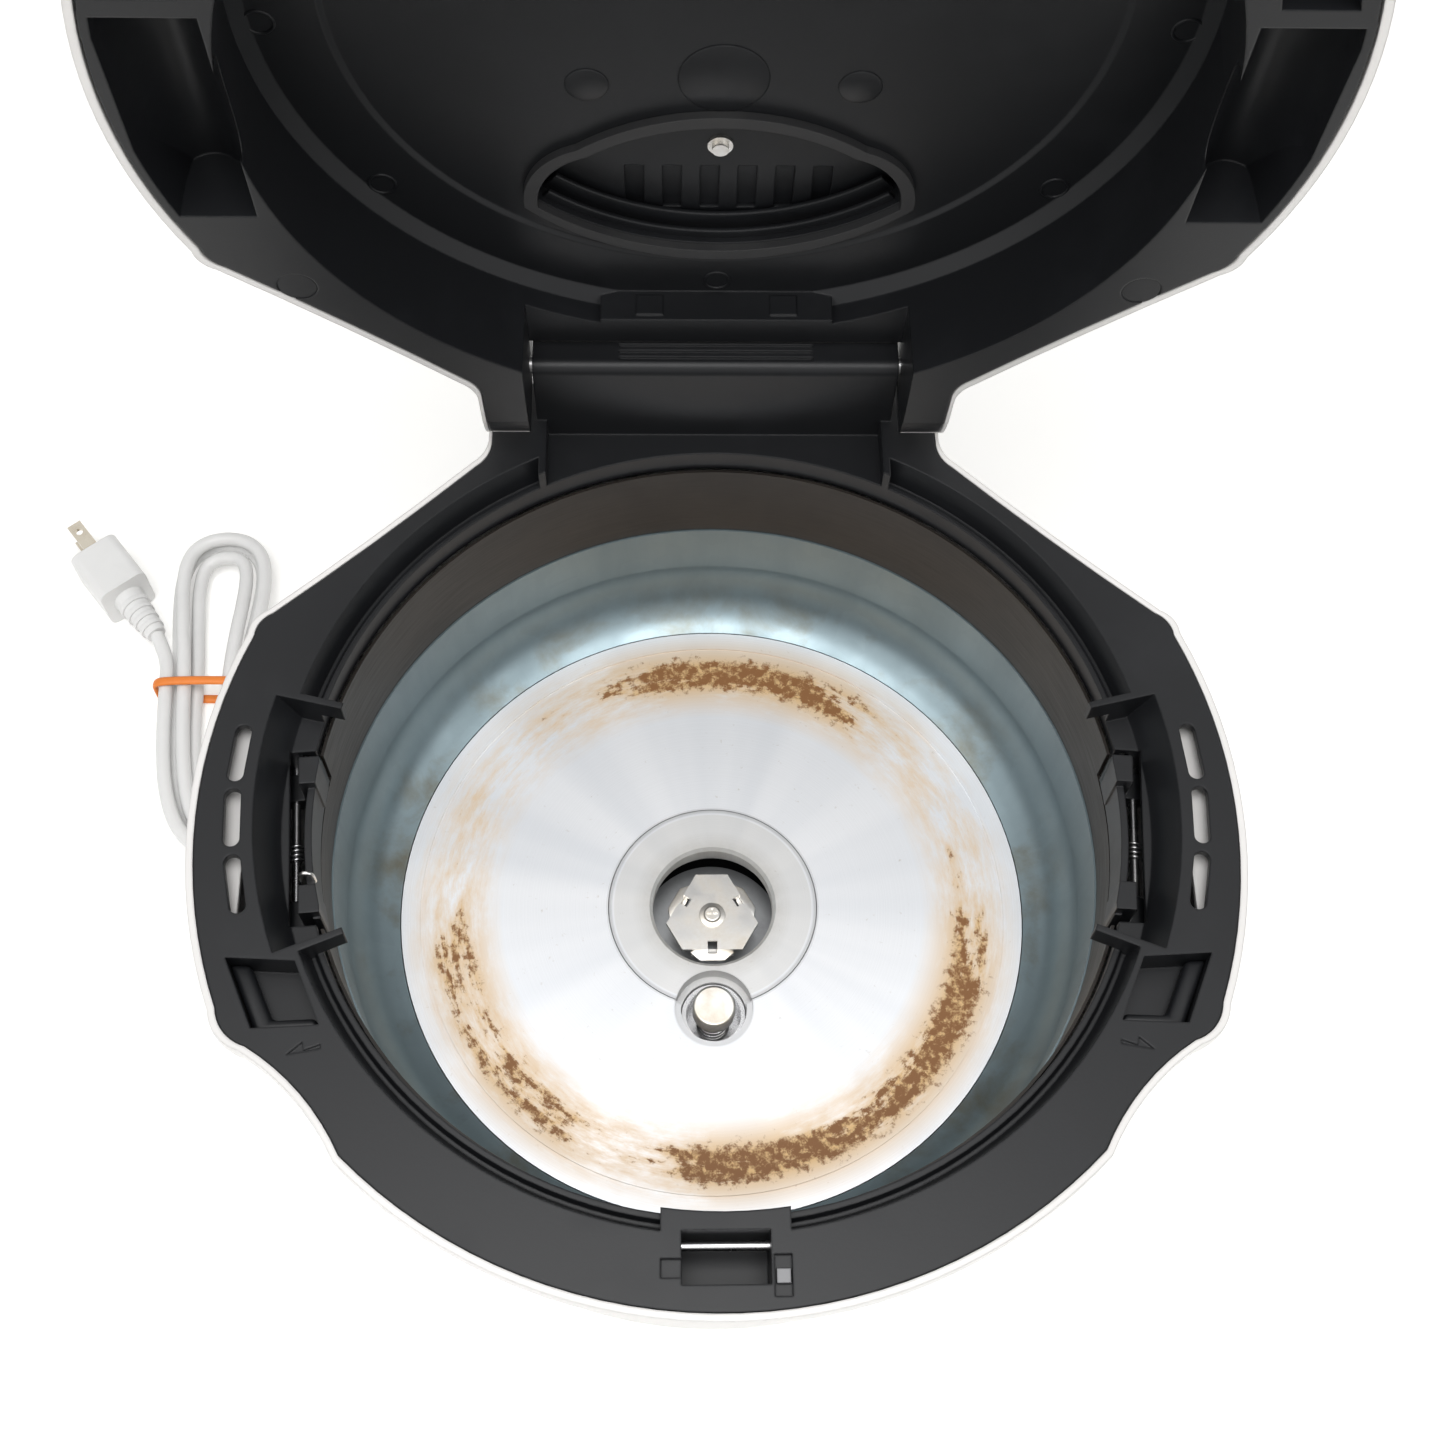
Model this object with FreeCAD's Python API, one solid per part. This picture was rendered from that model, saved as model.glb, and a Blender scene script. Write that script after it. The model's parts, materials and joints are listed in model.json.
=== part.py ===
import FreeCAD, Part
import math
import os

V = FreeCAD.Vector
X_AXIS = V(1, 0, 0)
Z_AXIS = V(0, 0, 1)

# Driving sizes, in millimetres and degrees. The origin is on the table under the middle of the chamber.
RIM_Z = 182.0
PLATE_TOP = 75.0
PLATE_R = 115.0
PLATE_THICK = 12.0
WALL = 2.5
FIT = 0.3
RUN_FIT = 0.05
PIN_FIT = 0.02
SHEET = 1.0
CHAMBER_R = 132.0
CHAMBER_TOP = 125.0
COLLAR_R = CHAMBER_R + 0.6

# Plan outline of the top frame, right half. Every point is a place on the frame's edge.
FRONT_R = 162.8
FRONT_END_DEG = 46.0
WAIST_MID = (125.2, -99.3)
WAIST_END = (143.5, -84.0)
EAR_FRONT_MID = (150.8, -79.0)
EAR_FRONT = (153.6, -72.0)
EAR_MID = (166.0, -10.0)
EAR_BACK = (153.5, 56.0)
EAR_BACK_MID = (152.0, 61.0)
FLANK_START = (148.0, 64.5)
FLANK_MID = (113.0, 95.0)
FLANK_END = (83.0, 123.0)
NECK_MID = (79.5, 127.0)
NECK_START = (78.0, 132.0)
NECK_END = (77.5, 158.0)

# White housing: height of each section with its share of the plan outline.
RIM_LIP = 10.0
HOUSING_FOOT = 5.0
HOUSING_TOP_SHARE = 1.0155
HOUSING_SECTIONS = [(HOUSING_FOOT, 0.80), (30.0, 0.865), (90.0, 0.925), (150.0, 0.975)]

# Top frame.
DECK = 3.0
SKIRT = 8.0
LIP_R = CHAMBER_R + 2.3
DECK_HOLE_R = LIP_R + 6.7
LIP_DROP = 8.6
LIP_WIDTH = 1.9
LEDGE_R = LIP_R + 4.2
LIP_FOOT_DROP = 18.0
SLOT_LENGTH = 20.0
SLOT_WIDTH = 5.2
SLOT_R = 155.0
SLOT_Y = (13.0, -9.5, -32.0)
SHELF_FROM_X = 152.2
SHELF_Y = (-46.0, 27.0)
SHELF_Z = 170.5
RECESS_DROP = 14.0
RECESS_R = 149.0
RECESS_FLOOR_R = 142.0
RECESS_FROM_DEG = -21.6
RECESS_TO_DEG = 13.2
POCKET_DROP = 12.0
POCKET_POINTS = [(152.3, -56.1), (131.0, -57.2), (122.1, -77.5), (142.5, -78.5)]
ARROW_POINTS = [(121.0, -85.0), (131.0, -86.8), (126.5, -82.8), (126.0, -85.4), (121.0, -83.6)]
ARROW_DEPTH = 0.6

# Pot levers, each in its own sector frame turned about the chamber axis.
LEVER_DEG = -4.5
LEVER_HALF = 28.0
LEVER_R = CHAMBER_R + 0.4
LEVER_THICK = 2.4
LEVER_FOOT = 149.0
LEVER_TOP = 167.0
LEVER_PIN_X = LEVER_R + 7.1
LEVER_PIN_Z = 154.0
LEVER_PIN_R = 1.5
LEVER_KNUCKLE_R = 3.4
LUG_LENGTH = 9.5
LUG_Y = 22.5
NOTCH_HALF = 30.5
NOTCH_R = LEVER_PIN_X + 4.0
LUG_R = LEVER_PIN_X - 3.5
LUG_TOP = 171.0
LEVER_WINDOW_R = LEVER_PIN_X - 0.1
LEVER_SPRING_R = 2.6
LEVER_SPRING_WIRE = 1.0
LEVER_SPRING_TURNS = 4
LEVER_SPRING_PITCH = 1.6

# Latch.
STRIKE_HALF = 13.0
STRIKE_BACK = -139.5
STRIKE_FRONT = -155.0
STRIKE_BAR_Y = -142.5
STRIKE_BAR_DROP = 9.0
STRIKE_BAR_R = 1.6
BRIDGE_LEFT = -19.0
BRIDGE_RIGHT = 19.0
BRIDGE_FRONT = -146.0
NOTCH_DEPTH = 2.2
LEFT_NOTCH_Y = (-153.0, -147.5)
SWITCH_SLOT_Y = (-158.4, -146.5)
SWITCH_X = 16.5
SWITCH_Y = -152.5
SWITCH_SIDE = 4.0
SWITCH_LENGTH = 16.0

# Hinge.
HINGE_Y = 148.6
HINGE_Z = 206.0
HINGE_PIN_R = 3.0
OPEN_DEG = 87.6
TOWER_HALF = 62.5
TOWER_FRONT = 142.5
TOWER_BACK = 157.0
TOWER_TOP = 212.0
TOWER_CHEEK = 5.0
TOWER_WALL = 1.5
TOWER_RIB_HALF = 33.0
TOWER_RIB_Y = (147.0, 149.6, 152.2)
TOWER_RIB_WIDTH = 1.3
TOWER_RIB_DEPTH = 0.8
REAR_WELL_HALF = 59.0
REAR_WELL_FRONT = 100.0
ARM_SWEEP_R = 22.8
HINGE_SPRING_R = 3.8
HINGE_SPRING_WIRE = 1.0
HINGE_SPRING_TURNS = 10
HINGE_SPRING_PITCH = 1.6
HINGE_SPRING_X = 40.0

# Chamber and heater.
CHAMBER_TAPER = 0.6
BEND_R = 25.0
BEND_SAG_R = 4.4
BEND_SAG_Z = 9.0
PLATE_GAP = 0.4
LIP_SEAT = 9.0
GROOVE_R = 107.6
GROOVE_WIDTH = 1.0
GROOVE_DEPTH = 0.6
HUB_R = 38.5
HUB_HOLE_R = 22.3
HUB_THICK = 7.0
ELEMENT_R = 82.0
ELEMENT_HALF = 4.0
LEG_R = 5.0
LEG_AT_R = 110.0
LEG_COUNT = 4

# Stirring drive.
MOTOR_R = 27.0
MOTOR_FOOT = 8.0
MOTOR_TOP = 46.0
BOSS_R = 11.0
BOSS_TOP = 56.0
BUSH_R = 7.0
SHAFT_R = 4.0
SHAFT_FOOT = 30.0
COUPLING_Z = 63.0
COUPLING_THICK = 1.6
COUPLING_CORNER_R = 17.5
COUPLING_CORNER_DEG = 20.0
TAB_DROP = 6.0
TAB_LENGTH = 16.0
SCREW_HEAD_R = 3.2
SCREW_HEAD_H = 2.2

# Temperature sensor.
SENSOR_Y = -39.4
SENSOR_RECESS_R = 14.2
SENSOR_RECESS_DEPTH = 1.5
SENSOR_HOLE_R = 12.0
SENSOR_CAP_R = 7.75
SENSOR_PROUD = 3.0
SENSOR_CAP_H = 8.0
SENSOR_STEM_R = 3.5
SLEEVE_FOOT = 48.0
SLEEVE_TOP = 66.0
SLEEVE_WALL = 1.6
SENSOR_SPRING_R = 5.6
SENSOR_SPRING_WIRE = 1.3
SENSOR_SPRING_TURNS = 5

# Lid, modelled closed and then swung open about the hinge.
LID_GAP = 0.6
LID_TOP = 66.0
LID_SECTIONS = [(0.0, HOUSING_TOP_SHARE), (20.0, 1.008), (42.0, 0.965), (56.0, 0.89), (63.0, 0.80),
                (LID_TOP, 0.70)]
LINER_SHARE = 0.995
LINER_R = LIP_R + 0.2
LINER_RIDGE_R = LINER_R + 2.5
LINER_CEILING = 40.0
LINER_DISH_R = 113.0
LINER_DISH_STEP = 1.2
LINER_BACK = 141.2
TROUGH_X = 147.5
TROUGH_HALF_WIDTH = 14.0
TROUGH_HEIGHT = 23.0
TROUGH_FROM = -36.0
TROUGH_TO = 41.0
BOX_POINTS = [(157.0, -42.0), (137.0, -42.0), (128.5, -76.0), (147.0, -76.0)]
BOX_DEPTH = 14.0
VENT_BACK = 105.0
VENT_WIDE_Y = 84.0
VENT_HALF = 57.0
VENT_APEX = 47.0
VENT_LIP = 4.5
VENT_LIP_DROP = 3.0
VENT_DEPTH = 12.0
VENT_PLATE = 1.6
PLUG_X = 128.0
PLUG_Y = 73.5
PLUG_R = 6.0
PLUG_THICK = 2.0
ARM_INNER = 63.6
ARM_OUTER = 74.6
ARM_FRONT = 118.0
ARM_HEIGHT = 38.0
ARM_REACH = 20.0
REAR_NOTCH_FRONT = 95.0
REAR_NOTCH_TOP = 28.0
HINGE_BLOCK_HALF = 39.0
HINGE_BLOCK_FRONT = 129.0
HINGE_BLOCK_TOP = 41.2
BLOCK_PAD_X = 22.5
BLOCK_PAD_HALF = 4.5
BLOCK_PAD_H = (30.0, 38.0)
BLOCK_PAD_PROUD = 0.5

# Controls on the lid's top, near the front.
PANEL_HALF = 62.0
PANEL_FROM = -96.0
PANEL_TO = -52.0
PANEL_THICK = 2.0
PANEL_SEAT = 4.5
WINDOW_HALF = 22.0
WINDOW_FROM = -74.0
WINDOW_TO = -57.0
KEY_X = (-48.0, -24.0, 0.0, 24.0, 48.0)
KEY_Y = -84.5
KEY_R = 7.0
KEY_FLANGE_R = 8.2
KEY_FLANGE = 1.0
KEY_TRAVEL = 0.8
KEY_PROUD = 0.6
BUTTON_Y = -106.0
BUTTON_HALF_X = 17.0
BUTTON_HALF_Y = 5.5
BUTTON_STEM_R = 3.0
HOOK_PIVOT_Y = -146.5
HOOK_PIVOT_H = 20.0
HOOK_PIN_R = 1.5
HOOK_HALF = 5.0
HOOK_KNUCKLE_R = 3.6
HOOK_ARM_H = 47.5
HOOK_ARM_THICK = 2.5
HOOK_PLAY = 1.5

# Base.
BASE_SHARE = 0.782
BASE_THICK = 2.5
FOOT_R = 9.0
FOOT_PLACES = [(70.0, 72.0), (-70.0, 72.0), (82.0, -75.0), (-82.0, -75.0)]
PAD_R = 12.0
SCREW_R = 3.0
SCREW_H = 1.8

# Mains lead.
CORD_R = 3.0
HANK_X = -212.0
HANK_Y = 124.0
HANK_LOW_Z = 4.6
HANK_LAYER = 6.8
HANK_TURNS = 3.5
HANK_START_TURN = 0.125
HANK_LENGTH = 66.0
HANK_LENGTH_STEP = 8.0
HANK_WIDTH = 11.0
HANK_WIDTH_STEP = 17.2
HANK_BEND = 0.36
HANK_STEPS = 12
TIE_WIDTH = 5.0
TIE_THICK = 1.2
GLAND_SPOT = (-96.0, 82.5, 24.0)
GLAND_AIM = (-0.68, 0.733, 0.0)
GLAND_LENGTH = 24.0
GLAND_ROOT = 6.0
GLAND_R = 6.5
PLUG_AIM = (-0.62, 0.785, 0.0)
PLUG_START = (-237.0, 149.0, 12.0)
RELIEF_LENGTH = 24.0
RELIEF_RIBS = 4
PLUG_LENGTH = 24.0
PLUG_WIDTH = 22.0
PLUG_HEIGHT = 24.0
BLADE_LENGTH = 17.5
BLADE_WIDTH = 6.3
BLADE_THICK = 1.5
BLADE_SPACING = 12.7


def save(name, shape):
    """Write one named piece."""
    os.makedirs("parts", exist_ok=True)
    if not shape.isValid():
        print("not valid:", name)
    shape.exportStep("parts/" + name + ".step")


def box(x0, x1, y0, y1, z0, z1):
    return Part.makeBox(x1 - x0, y1 - y0, z1 - z0, V(x0, y0, z0))


def rod(radius, z0, z1, x=0.0, y=0.0):
    return Part.makeCylinder(radius, z1 - z0, V(x, y, z0))


def tube(outer, inner, z0, z1, x=0.0, y=0.0):
    return rod(outer, z0, z1, x, y).cut(rod(inner, z0 - 1, z1 + 1, x, y))


def rod_x(radius, x0, x1, y, z):
    return Part.makeCylinder(radius, x1 - x0, V(x0, y, z), X_AXIS)


def rod_y(radius, y0, y1, x, z):
    return Part.makeCylinder(radius, y1 - y0, V(x, y0, z), V(0, 1, 0))


def prism(points, z0, z1):
    """Upright solid on a closed plan of straight sides."""
    corners = [V(x, y, z0) for x, y in points]
    face = Part.Face(Part.makePolygon(corners + corners[:1]))
    return face.extrude(V(0, 0, z1 - z0))


def turned(points, from_deg=0.0, sweep_deg=360.0):
    """Solid of revolution about the chamber axis from a radius and height profile."""
    corners = [V(r, 0, z) for r, z in points]
    face = Part.Face(Part.makePolygon(corners + corners[:1]))
    face.rotate(V(0, 0, 0), Z_AXIS, from_deg)
    return face.revolve(V(0, 0, 0), Z_AXIS, sweep_deg)


def mirrored(shape):
    return shape.mirror(V(0, 0, 0), X_AXIS)


def both_sides(shape):
    return [shape, mirrored(shape)]


def fuse_all(shapes):
    first = shapes[0]
    return first.fuse(shapes[1:]).removeSplitter() if len(shapes) > 1 else first


def outline(share, z):
    """Closed plan wire of the top frame, with its points drawn in or out by a share."""
    def at(point, side):
        return V(side * point[0] * share, point[1] * share, z)

    end = math.radians(FRONT_END_DEG)
    front_end = (FRONT_R * math.cos(end), -FRONT_R * math.sin(end))
    front = Part.Arc(at(front_end, -1), at((0.0, -FRONT_R), 1), at(front_end, 1)).toShape()

    def half(side):
        arcs = [
            (front_end, WAIST_MID, WAIST_END),
            (WAIST_END, EAR_FRONT_MID, EAR_FRONT),
            (EAR_FRONT, EAR_MID, EAR_BACK),
            (EAR_BACK, EAR_BACK_MID, FLANK_START),
            (FLANK_START, FLANK_MID, FLANK_END),
            (FLANK_END, NECK_MID, NECK_START),
        ]
        edges = [Part.Arc(at(a, side), at(b, side), at(c, side)).toShape() for a, b, c in arcs]
        edges.append(Part.LineSegment(at(NECK_START, side), at(NECK_END, side)).toShape())
        return edges

    back = Part.LineSegment(at(NECK_END, 1), at(NECK_END, -1)).toShape()
    return Part.Wire(Part.__sortEdges__([front] + half(1) + [back] + half(-1)))


def outline_solid(share, z0, z1):
    return Part.Face(outline(share, z0)).extrude(V(0, 0, z1 - z0))


def outline_loft(sections):
    return Part.makeLoft([outline(share, z) for z, share in sections], True, False)


def arc_between(start, heading, end):
    """Arc that leaves start along heading and ends at end, or a line where it is straight."""
    chord = end - start
    along = V(chord).normalize()
    side = heading - along * heading.dot(along)
    if side.Length < 1e-6:
        return Part.LineSegment(start, end).toShape()
    angle = math.acos(max(-1.0, min(1.0, heading.dot(along))))
    rise = chord.Length / 2 * math.tan(angle / 2)
    middle = start + chord * 0.5 + V(side).normalize() * rise
    return Part.Arc(start, middle, end).toShape()


def biarc(p0, t0, p1, t1):
    """Two tangent arcs from one point and heading to the next."""
    v = p1 - p0
    t = t0 + t1
    spread = 2 * (1 - t0.dot(t1))
    if spread < 1e-9:
        reach = v.dot(v) / (4 * v.dot(t0))
    else:
        reach = (-v.dot(t) + math.sqrt(v.dot(t) ** 2 + spread * v.dot(v))) / spread
    joint = (p0 + t0 * reach + p1 - t1 * reach) * 0.5
    back = arc_between(p1, t1 * -1, joint)
    return [arc_between(p0, t0, joint), back]


def curve_path(place, count, from_turn, to_turn, lead=0.0):
    """Wire of biarcs through a formula's points, with straight ends of a given length."""
    step = (to_turn - from_turn) / count
    tiny = 1e-4

    def heading(turn):
        return (place(turn + tiny) - place(turn - tiny)).normalize()

    turns = [from_turn + step * i for i in range(count + 1)]
    edges = []
    if lead:
        edges.append(Part.LineSegment(place(turns[0]) - heading(turns[0]) * lead, place(turns[0])).toShape())
    for a, b in zip(turns, turns[1:]):
        edges += biarc(place(a), heading(a), place(b), heading(b))
    if lead:
        edges.append(Part.LineSegment(place(turns[-1]), place(turns[-1]) + heading(turns[-1]) * lead).toShape())
    return Part.Wire(Part.__sortEdges__(edges))


def pipe(path, radius):
    """Round tube along a wire."""
    first = path.OrderedEdges[0]
    start = path.OrderedVertexes[0].Point
    heading = first.tangentAt(first.FirstParameter)
    if first.valueAt(first.FirstParameter).distanceToPoint(start) > 1e-6:
        heading = first.tangentAt(first.LastParameter) * -1
    profile = Part.Wire(Part.Circle(start, heading, radius).toShape())
    return path.makePipeShell([profile], True, False)


def self_gap(path, radius, name):
    """Print the least gap of a wound tube to itself, measured on points of its path."""
    spacing = radius
    points = path.discretize(Distance=spacing)
    skip = int(math.pi * 2 * radius / spacing) + 2
    least = min(
        points[i].distanceToPoint(points[j])
        for i in range(len(points))
        for j in range(i + skip, len(points))
    )
    print(name, "length %.0f least self gap %.2f" % (path.Length, least - 2 * radius))


def rounded_route(points, name):
    """Wire of straight runs joined by tangent arcs as large as the runs allow."""
    places = [V(*p) for p in points]
    edges = []
    radii = []
    last = places[0]
    for before, corner, after in zip(places, places[1:], places[2:]):
        into = (corner - before).normalize()
        out = (after - corner).normalize()
        turn = into.getAngle(out)
        shorter = min((corner - before).Length, (after - corner).Length)
        trim = 0.45 * shorter
        radii.append(trim / math.tan(turn / 2))
        start = corner - into * trim
        edges.append(Part.LineSegment(last, start).toShape())
        last = corner + out * trim
        edges.append(arc_between(start, into, last))
    edges.append(Part.LineSegment(last, places[-1]).toShape())
    print(name, "radii", " ".join("%.0f" % r for r in radii))
    return Part.Wire(edges)


def opened(shape):
    """Swing a piece of the closed lid to its open place."""
    swung = shape.copy()
    swung.rotate(V(0, HINGE_Y, HINGE_Z), X_AXIS, -OPEN_DEG)
    return swung


def lever_side(shape):
    """Put a piece from the lever's own frame on the right side of the chamber."""
    placed = shape.copy()
    placed.rotate(V(0, 0, 0), Z_AXIS, LEVER_DEG)
    return placed


LID_Z = RIM_Z + LID_GAP
PLATE_FOOT = PLATE_TOP - PLATE_THICK
BASE_TOP = HOUSING_FOOT + 0.5 + BASE_THICK
RECESS_FLOOR = RIM_Z - RECESS_DROP
LIP_Z = RIM_Z - LIP_DROP


def outer_housing():
    top = [(RIM_Z - RIM_LIP, HOUSING_TOP_SHARE - 0.002), (RIM_Z, HOUSING_TOP_SHARE)]
    outer = outline_loft(HOUSING_SECTIONS + top)
    wall_share = WALL / FRONT_R
    inner_low = [(z, share - wall_share) for z, share in HOUSING_SECTIONS]
    inner_share = 1.0 + FIT / FRONT_R
    inner_top = [(RIM_Z - RIM_LIP, inner_share), (RIM_Z, inner_share)]
    shell = outer.cut(outline_loft(inner_low + inner_top))
    spot = V(*GLAND_SPOT)
    aim = V(*GLAND_AIM).normalize()
    hole = Part.makeCylinder(GLAND_R + RUN_FIT, 4 * GLAND_ROOT, spot - aim * 2 * GLAND_ROOT, aim)
    shelf = box(SHELF_FROM_X, 2 * FRONT_R, SHELF_Y[0], SHELF_Y[1], SHELF_Z, SHELF_Z + WALL)
    shelf = shelf.common(outline_solid(1.0 + 2 * FIT / FRONT_R, SHELF_Z, SHELF_Z + WALL))
    return fuse_all([shell] + both_sides(shelf)).cut(hole)


def recess_sector(grow):
    """Space over a handle recess in the right ear."""
    profile = [
        (LIP_R - 8, RECESS_FLOOR - grow),
        (RECESS_FLOOR_R + grow, RECESS_FLOOR - grow),
        (RECESS_R + grow, RIM_Z + (1 if grow == 0 else 0)),
        (LIP_R - 8, RIM_Z + (1 if grow == 0 else 0)),
    ]
    spread = math.degrees(grow / RECESS_R)
    return turned(profile, RECESS_FROM_DEG - spread, RECESS_TO_DEG - RECESS_FROM_DEG + 2 * spread)


def lever_notch():
    """Space that the pot lever moves in, right side."""
    return lever_side(box(LIP_R - 12, NOTCH_R, -NOTCH_HALF, NOTCH_HALF, LEVER_FOOT - 2, RECESS_FLOOR - WALL))


def lever_window():
    """Opening in the recess floor that the lever's lugs stand in, right side."""
    return lever_side(box(LIP_R - 12, LEVER_WINDOW_R, -NOTCH_HALF, NOTCH_HALF, RECESS_FLOOR - 2 * WALL, RIM_Z + 1))


def frame_slots():
    slots = []
    for y in SLOT_Y:
        x = math.sqrt(SLOT_R ** 2 - y ** 2)
        straight = SLOT_LENGTH - SLOT_WIDTH
        slot = box(-SLOT_WIDTH / 2, SLOT_WIDTH / 2, -straight / 2, straight / 2, RIM_Z - 3 * DECK, RIM_Z + 1)
        ends = [rod(SLOT_WIDTH / 2, RIM_Z - 3 * DECK, RIM_Z + 1, 0, s * straight / 2) for s in (-1, 1)]
        slot = slot.fuse(ends)
        slot.rotate(V(0, 0, 0), Z_AXIS, math.degrees(math.atan2(y, x)))
        slot.translate(V(x, y, 0))
        slots.append(slot)
    return slots


def grown_plan(points, grow):
    """Plan points moved out from their middle."""
    cx = sum(x for x, y in points) / len(points)
    cy = sum(y for x, y in points) / len(points)
    far = max(math.hypot(x - cx, y - cy) for x, y in points)
    share = 1 + grow / far
    return [(cx + (x - cx) * share, cy + (y - cy) * share) for x, y in points]


def lever_cheeks():
    """Two upright cheeks of the frame that hold the lever's pin, right side."""
    cheeks = []
    for side in (-1, 1):
        inner = side * NOTCH_HALF
        outer = side * (NOTCH_HALF + WALL)
        low, high = sorted((inner, outer))
        foot = LEVER_PIN_Z - LEVER_KNUCKLE_R - 1
        cheek = box(LEVER_PIN_X - 3.5, NOTCH_R, low, high, foot, RECESS_FLOOR - WALL / 2)
        cheeks.append(cheek)
    back = box(NOTCH_R, NOTCH_R + WALL, -NOTCH_HALF - WALL, NOTCH_HALF + WALL,
               LEVER_PIN_Z - LEVER_KNUCKLE_R - 1, RECESS_FLOOR - WALL / 2)
    return lever_side(fuse_all(cheeks + [back]))


def hinge_tower():
    body = box(-TOWER_HALF, TOWER_HALF, TOWER_FRONT, TOWER_BACK, RIM_Z - DECK, TOWER_TOP)
    back_edges = [e for e in body.Edges if abs(e.CenterOfMass.z - TOWER_TOP) < 0.01
                  and abs(e.CenterOfMass.x) < 0.01]
    body = body.makeFillet(4.0, back_edges)
    hollow = box(-TOWER_HALF + TOWER_CHEEK, TOWER_HALF - TOWER_CHEEK, TOWER_FRONT + TOWER_WALL,
                 TOWER_BACK - TOWER_WALL, RIM_Z - DECK - 1, TOWER_TOP - TOWER_WALL)
    return body.cut(hollow)


def top_frame():
    deck = outline_solid(1.0, RIM_Z - DECK, RIM_Z)
    skirt = outline_solid(1.0, RIM_Z - SKIRT, RIM_Z).cut(outline_solid(1 - WALL / FRONT_R, RIM_Z - SKIRT - 1, RIM_Z))
    ring = turned([
        (LIP_R, LIP_Z),
        (LIP_R + LIP_WIDTH, LIP_Z),
        (LIP_R + LIP_WIDTH + 1, LIP_Z - 2),
        (LEDGE_R, LIP_Z - 2),
        (DECK_HOLE_R, RIM_Z),
        (DECK_HOLE_R + WALL, RIM_Z),
        (DECK_HOLE_R, LIP_Z - 4.5),
        (LIP_R + WALL, LIP_Z - 4.5),
        (LIP_R + WALL, RIM_Z - LIP_FOOT_DROP),
        (LIP_R, RIM_Z - LIP_FOOT_DROP),
    ])
    wells = both_sides(recess_sector(WALL)) + both_sides(lever_cheeks())
    wells += both_sides(prism(grown_plan(POCKET_POINTS, WALL), RIM_Z - POCKET_DROP - WALL, RIM_Z))
    strike_well = box(-STRIKE_HALF - WALL, STRIKE_HALF + WALL, STRIKE_FRONT - WALL, STRIKE_BACK + WALL,
                      RIM_Z - 24, RIM_Z)
    side = SWITCH_SIDE / 2 + RUN_FIT
    switch_guide = box(SWITCH_X - side - WALL, SWITCH_X + side + WALL, SWITCH_Y - side - WALL,
                       SWITCH_Y + side + WALL, RIM_Z - 12, RIM_Z)
    frame = deck.cut(rod(DECK_HOLE_R + 0.5, RIM_Z - DECK - 1, RIM_Z + 1))
    bridge = box(BRIDGE_LEFT, BRIDGE_RIGHT, BRIDGE_FRONT, -LIP_R + 5, LIP_Z - WALL, RIM_Z)
    bridge = bridge.cut(rod(LIP_R, LIP_Z - 2 * WALL, RIM_Z + 1))
    well_half = REAR_WELL_HALF + WALL
    rear_well = box(-well_half, well_half, REAR_WELL_FRONT, TOWER_FRONT + 1, LIP_Z - WALL, RIM_Z)
    rear_well = rear_well.cut(rod(LIP_R, LIP_Z - 2 * WALL, RIM_Z + 1))
    wells += [strike_well, switch_guide, bridge, rear_well]
    frame = fuse_all([frame, skirt, ring, hinge_tower()] + wells)
    frame = frame.cut(rod(LIP_R, RIM_Z - 60, LIP_Z + 0.01))
    cuts = both_sides(recess_sector(0.0)) + both_sides(lever_notch()) + both_sides(lever_window())
    cuts += both_sides(prism(POCKET_POINTS, RIM_Z - POCKET_DROP, RIM_Z + 1))
    cuts += both_sides(prism(ARROW_POINTS, RIM_Z - ARROW_DEPTH, RIM_Z + 1))
    for slot in frame_slots():
        cuts += both_sides(slot)
    cuts.append(box(-STRIKE_HALF, STRIKE_HALF, STRIKE_FRONT, STRIKE_BACK, RIM_Z - 23, RIM_Z + 1))
    cuts.append(box(-REAR_WELL_HALF, REAR_WELL_HALF, REAR_WELL_FRONT - 1, TOWER_FRONT, LIP_Z, RIM_Z + 1))
    notch_z = RIM_Z - NOTCH_DEPTH
    cuts.append(box(BRIDGE_LEFT, -STRIKE_HALF, LEFT_NOTCH_Y[0], LEFT_NOTCH_Y[1], notch_z, RIM_Z + 1))
    cuts.append(box(STRIKE_HALF + 0.8, BRIDGE_RIGHT, SWITCH_SLOT_Y[0], SWITCH_SLOT_Y[1], notch_z, RIM_Z + 1))
    for y in TOWER_RIB_Y:
        cuts.append(box(-TOWER_RIB_HALF, TOWER_RIB_HALF, y - TOWER_RIB_WIDTH / 2, y + TOWER_RIB_WIDTH / 2,
                        TOWER_TOP - TOWER_RIB_DEPTH, TOWER_TOP + 1))
    cuts.append(rod_x(STRIKE_BAR_R, -STRIKE_HALF - WALL + 0.5, STRIKE_HALF + WALL - 0.5,
                      STRIKE_BAR_Y, RIM_Z - STRIKE_BAR_DROP))
    cuts.append(box(SWITCH_X - side, SWITCH_X + side, SWITCH_Y - side, SWITCH_Y + side, RIM_Z - 30, RIM_Z + 1))
    cuts.append(rod_x(HINGE_PIN_R + RUN_FIT, -2 * TOWER_HALF, 2 * TOWER_HALF, HINGE_Y, HINGE_Z))
    for pin in both_sides(lever_side(rod_y(LEVER_PIN_R + 0.02, -2 * NOTCH_HALF, 2 * NOTCH_HALF,
                                           LEVER_PIN_X, LEVER_PIN_Z))):
        cuts.append(pin)
    return frame.cut(cuts)


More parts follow.
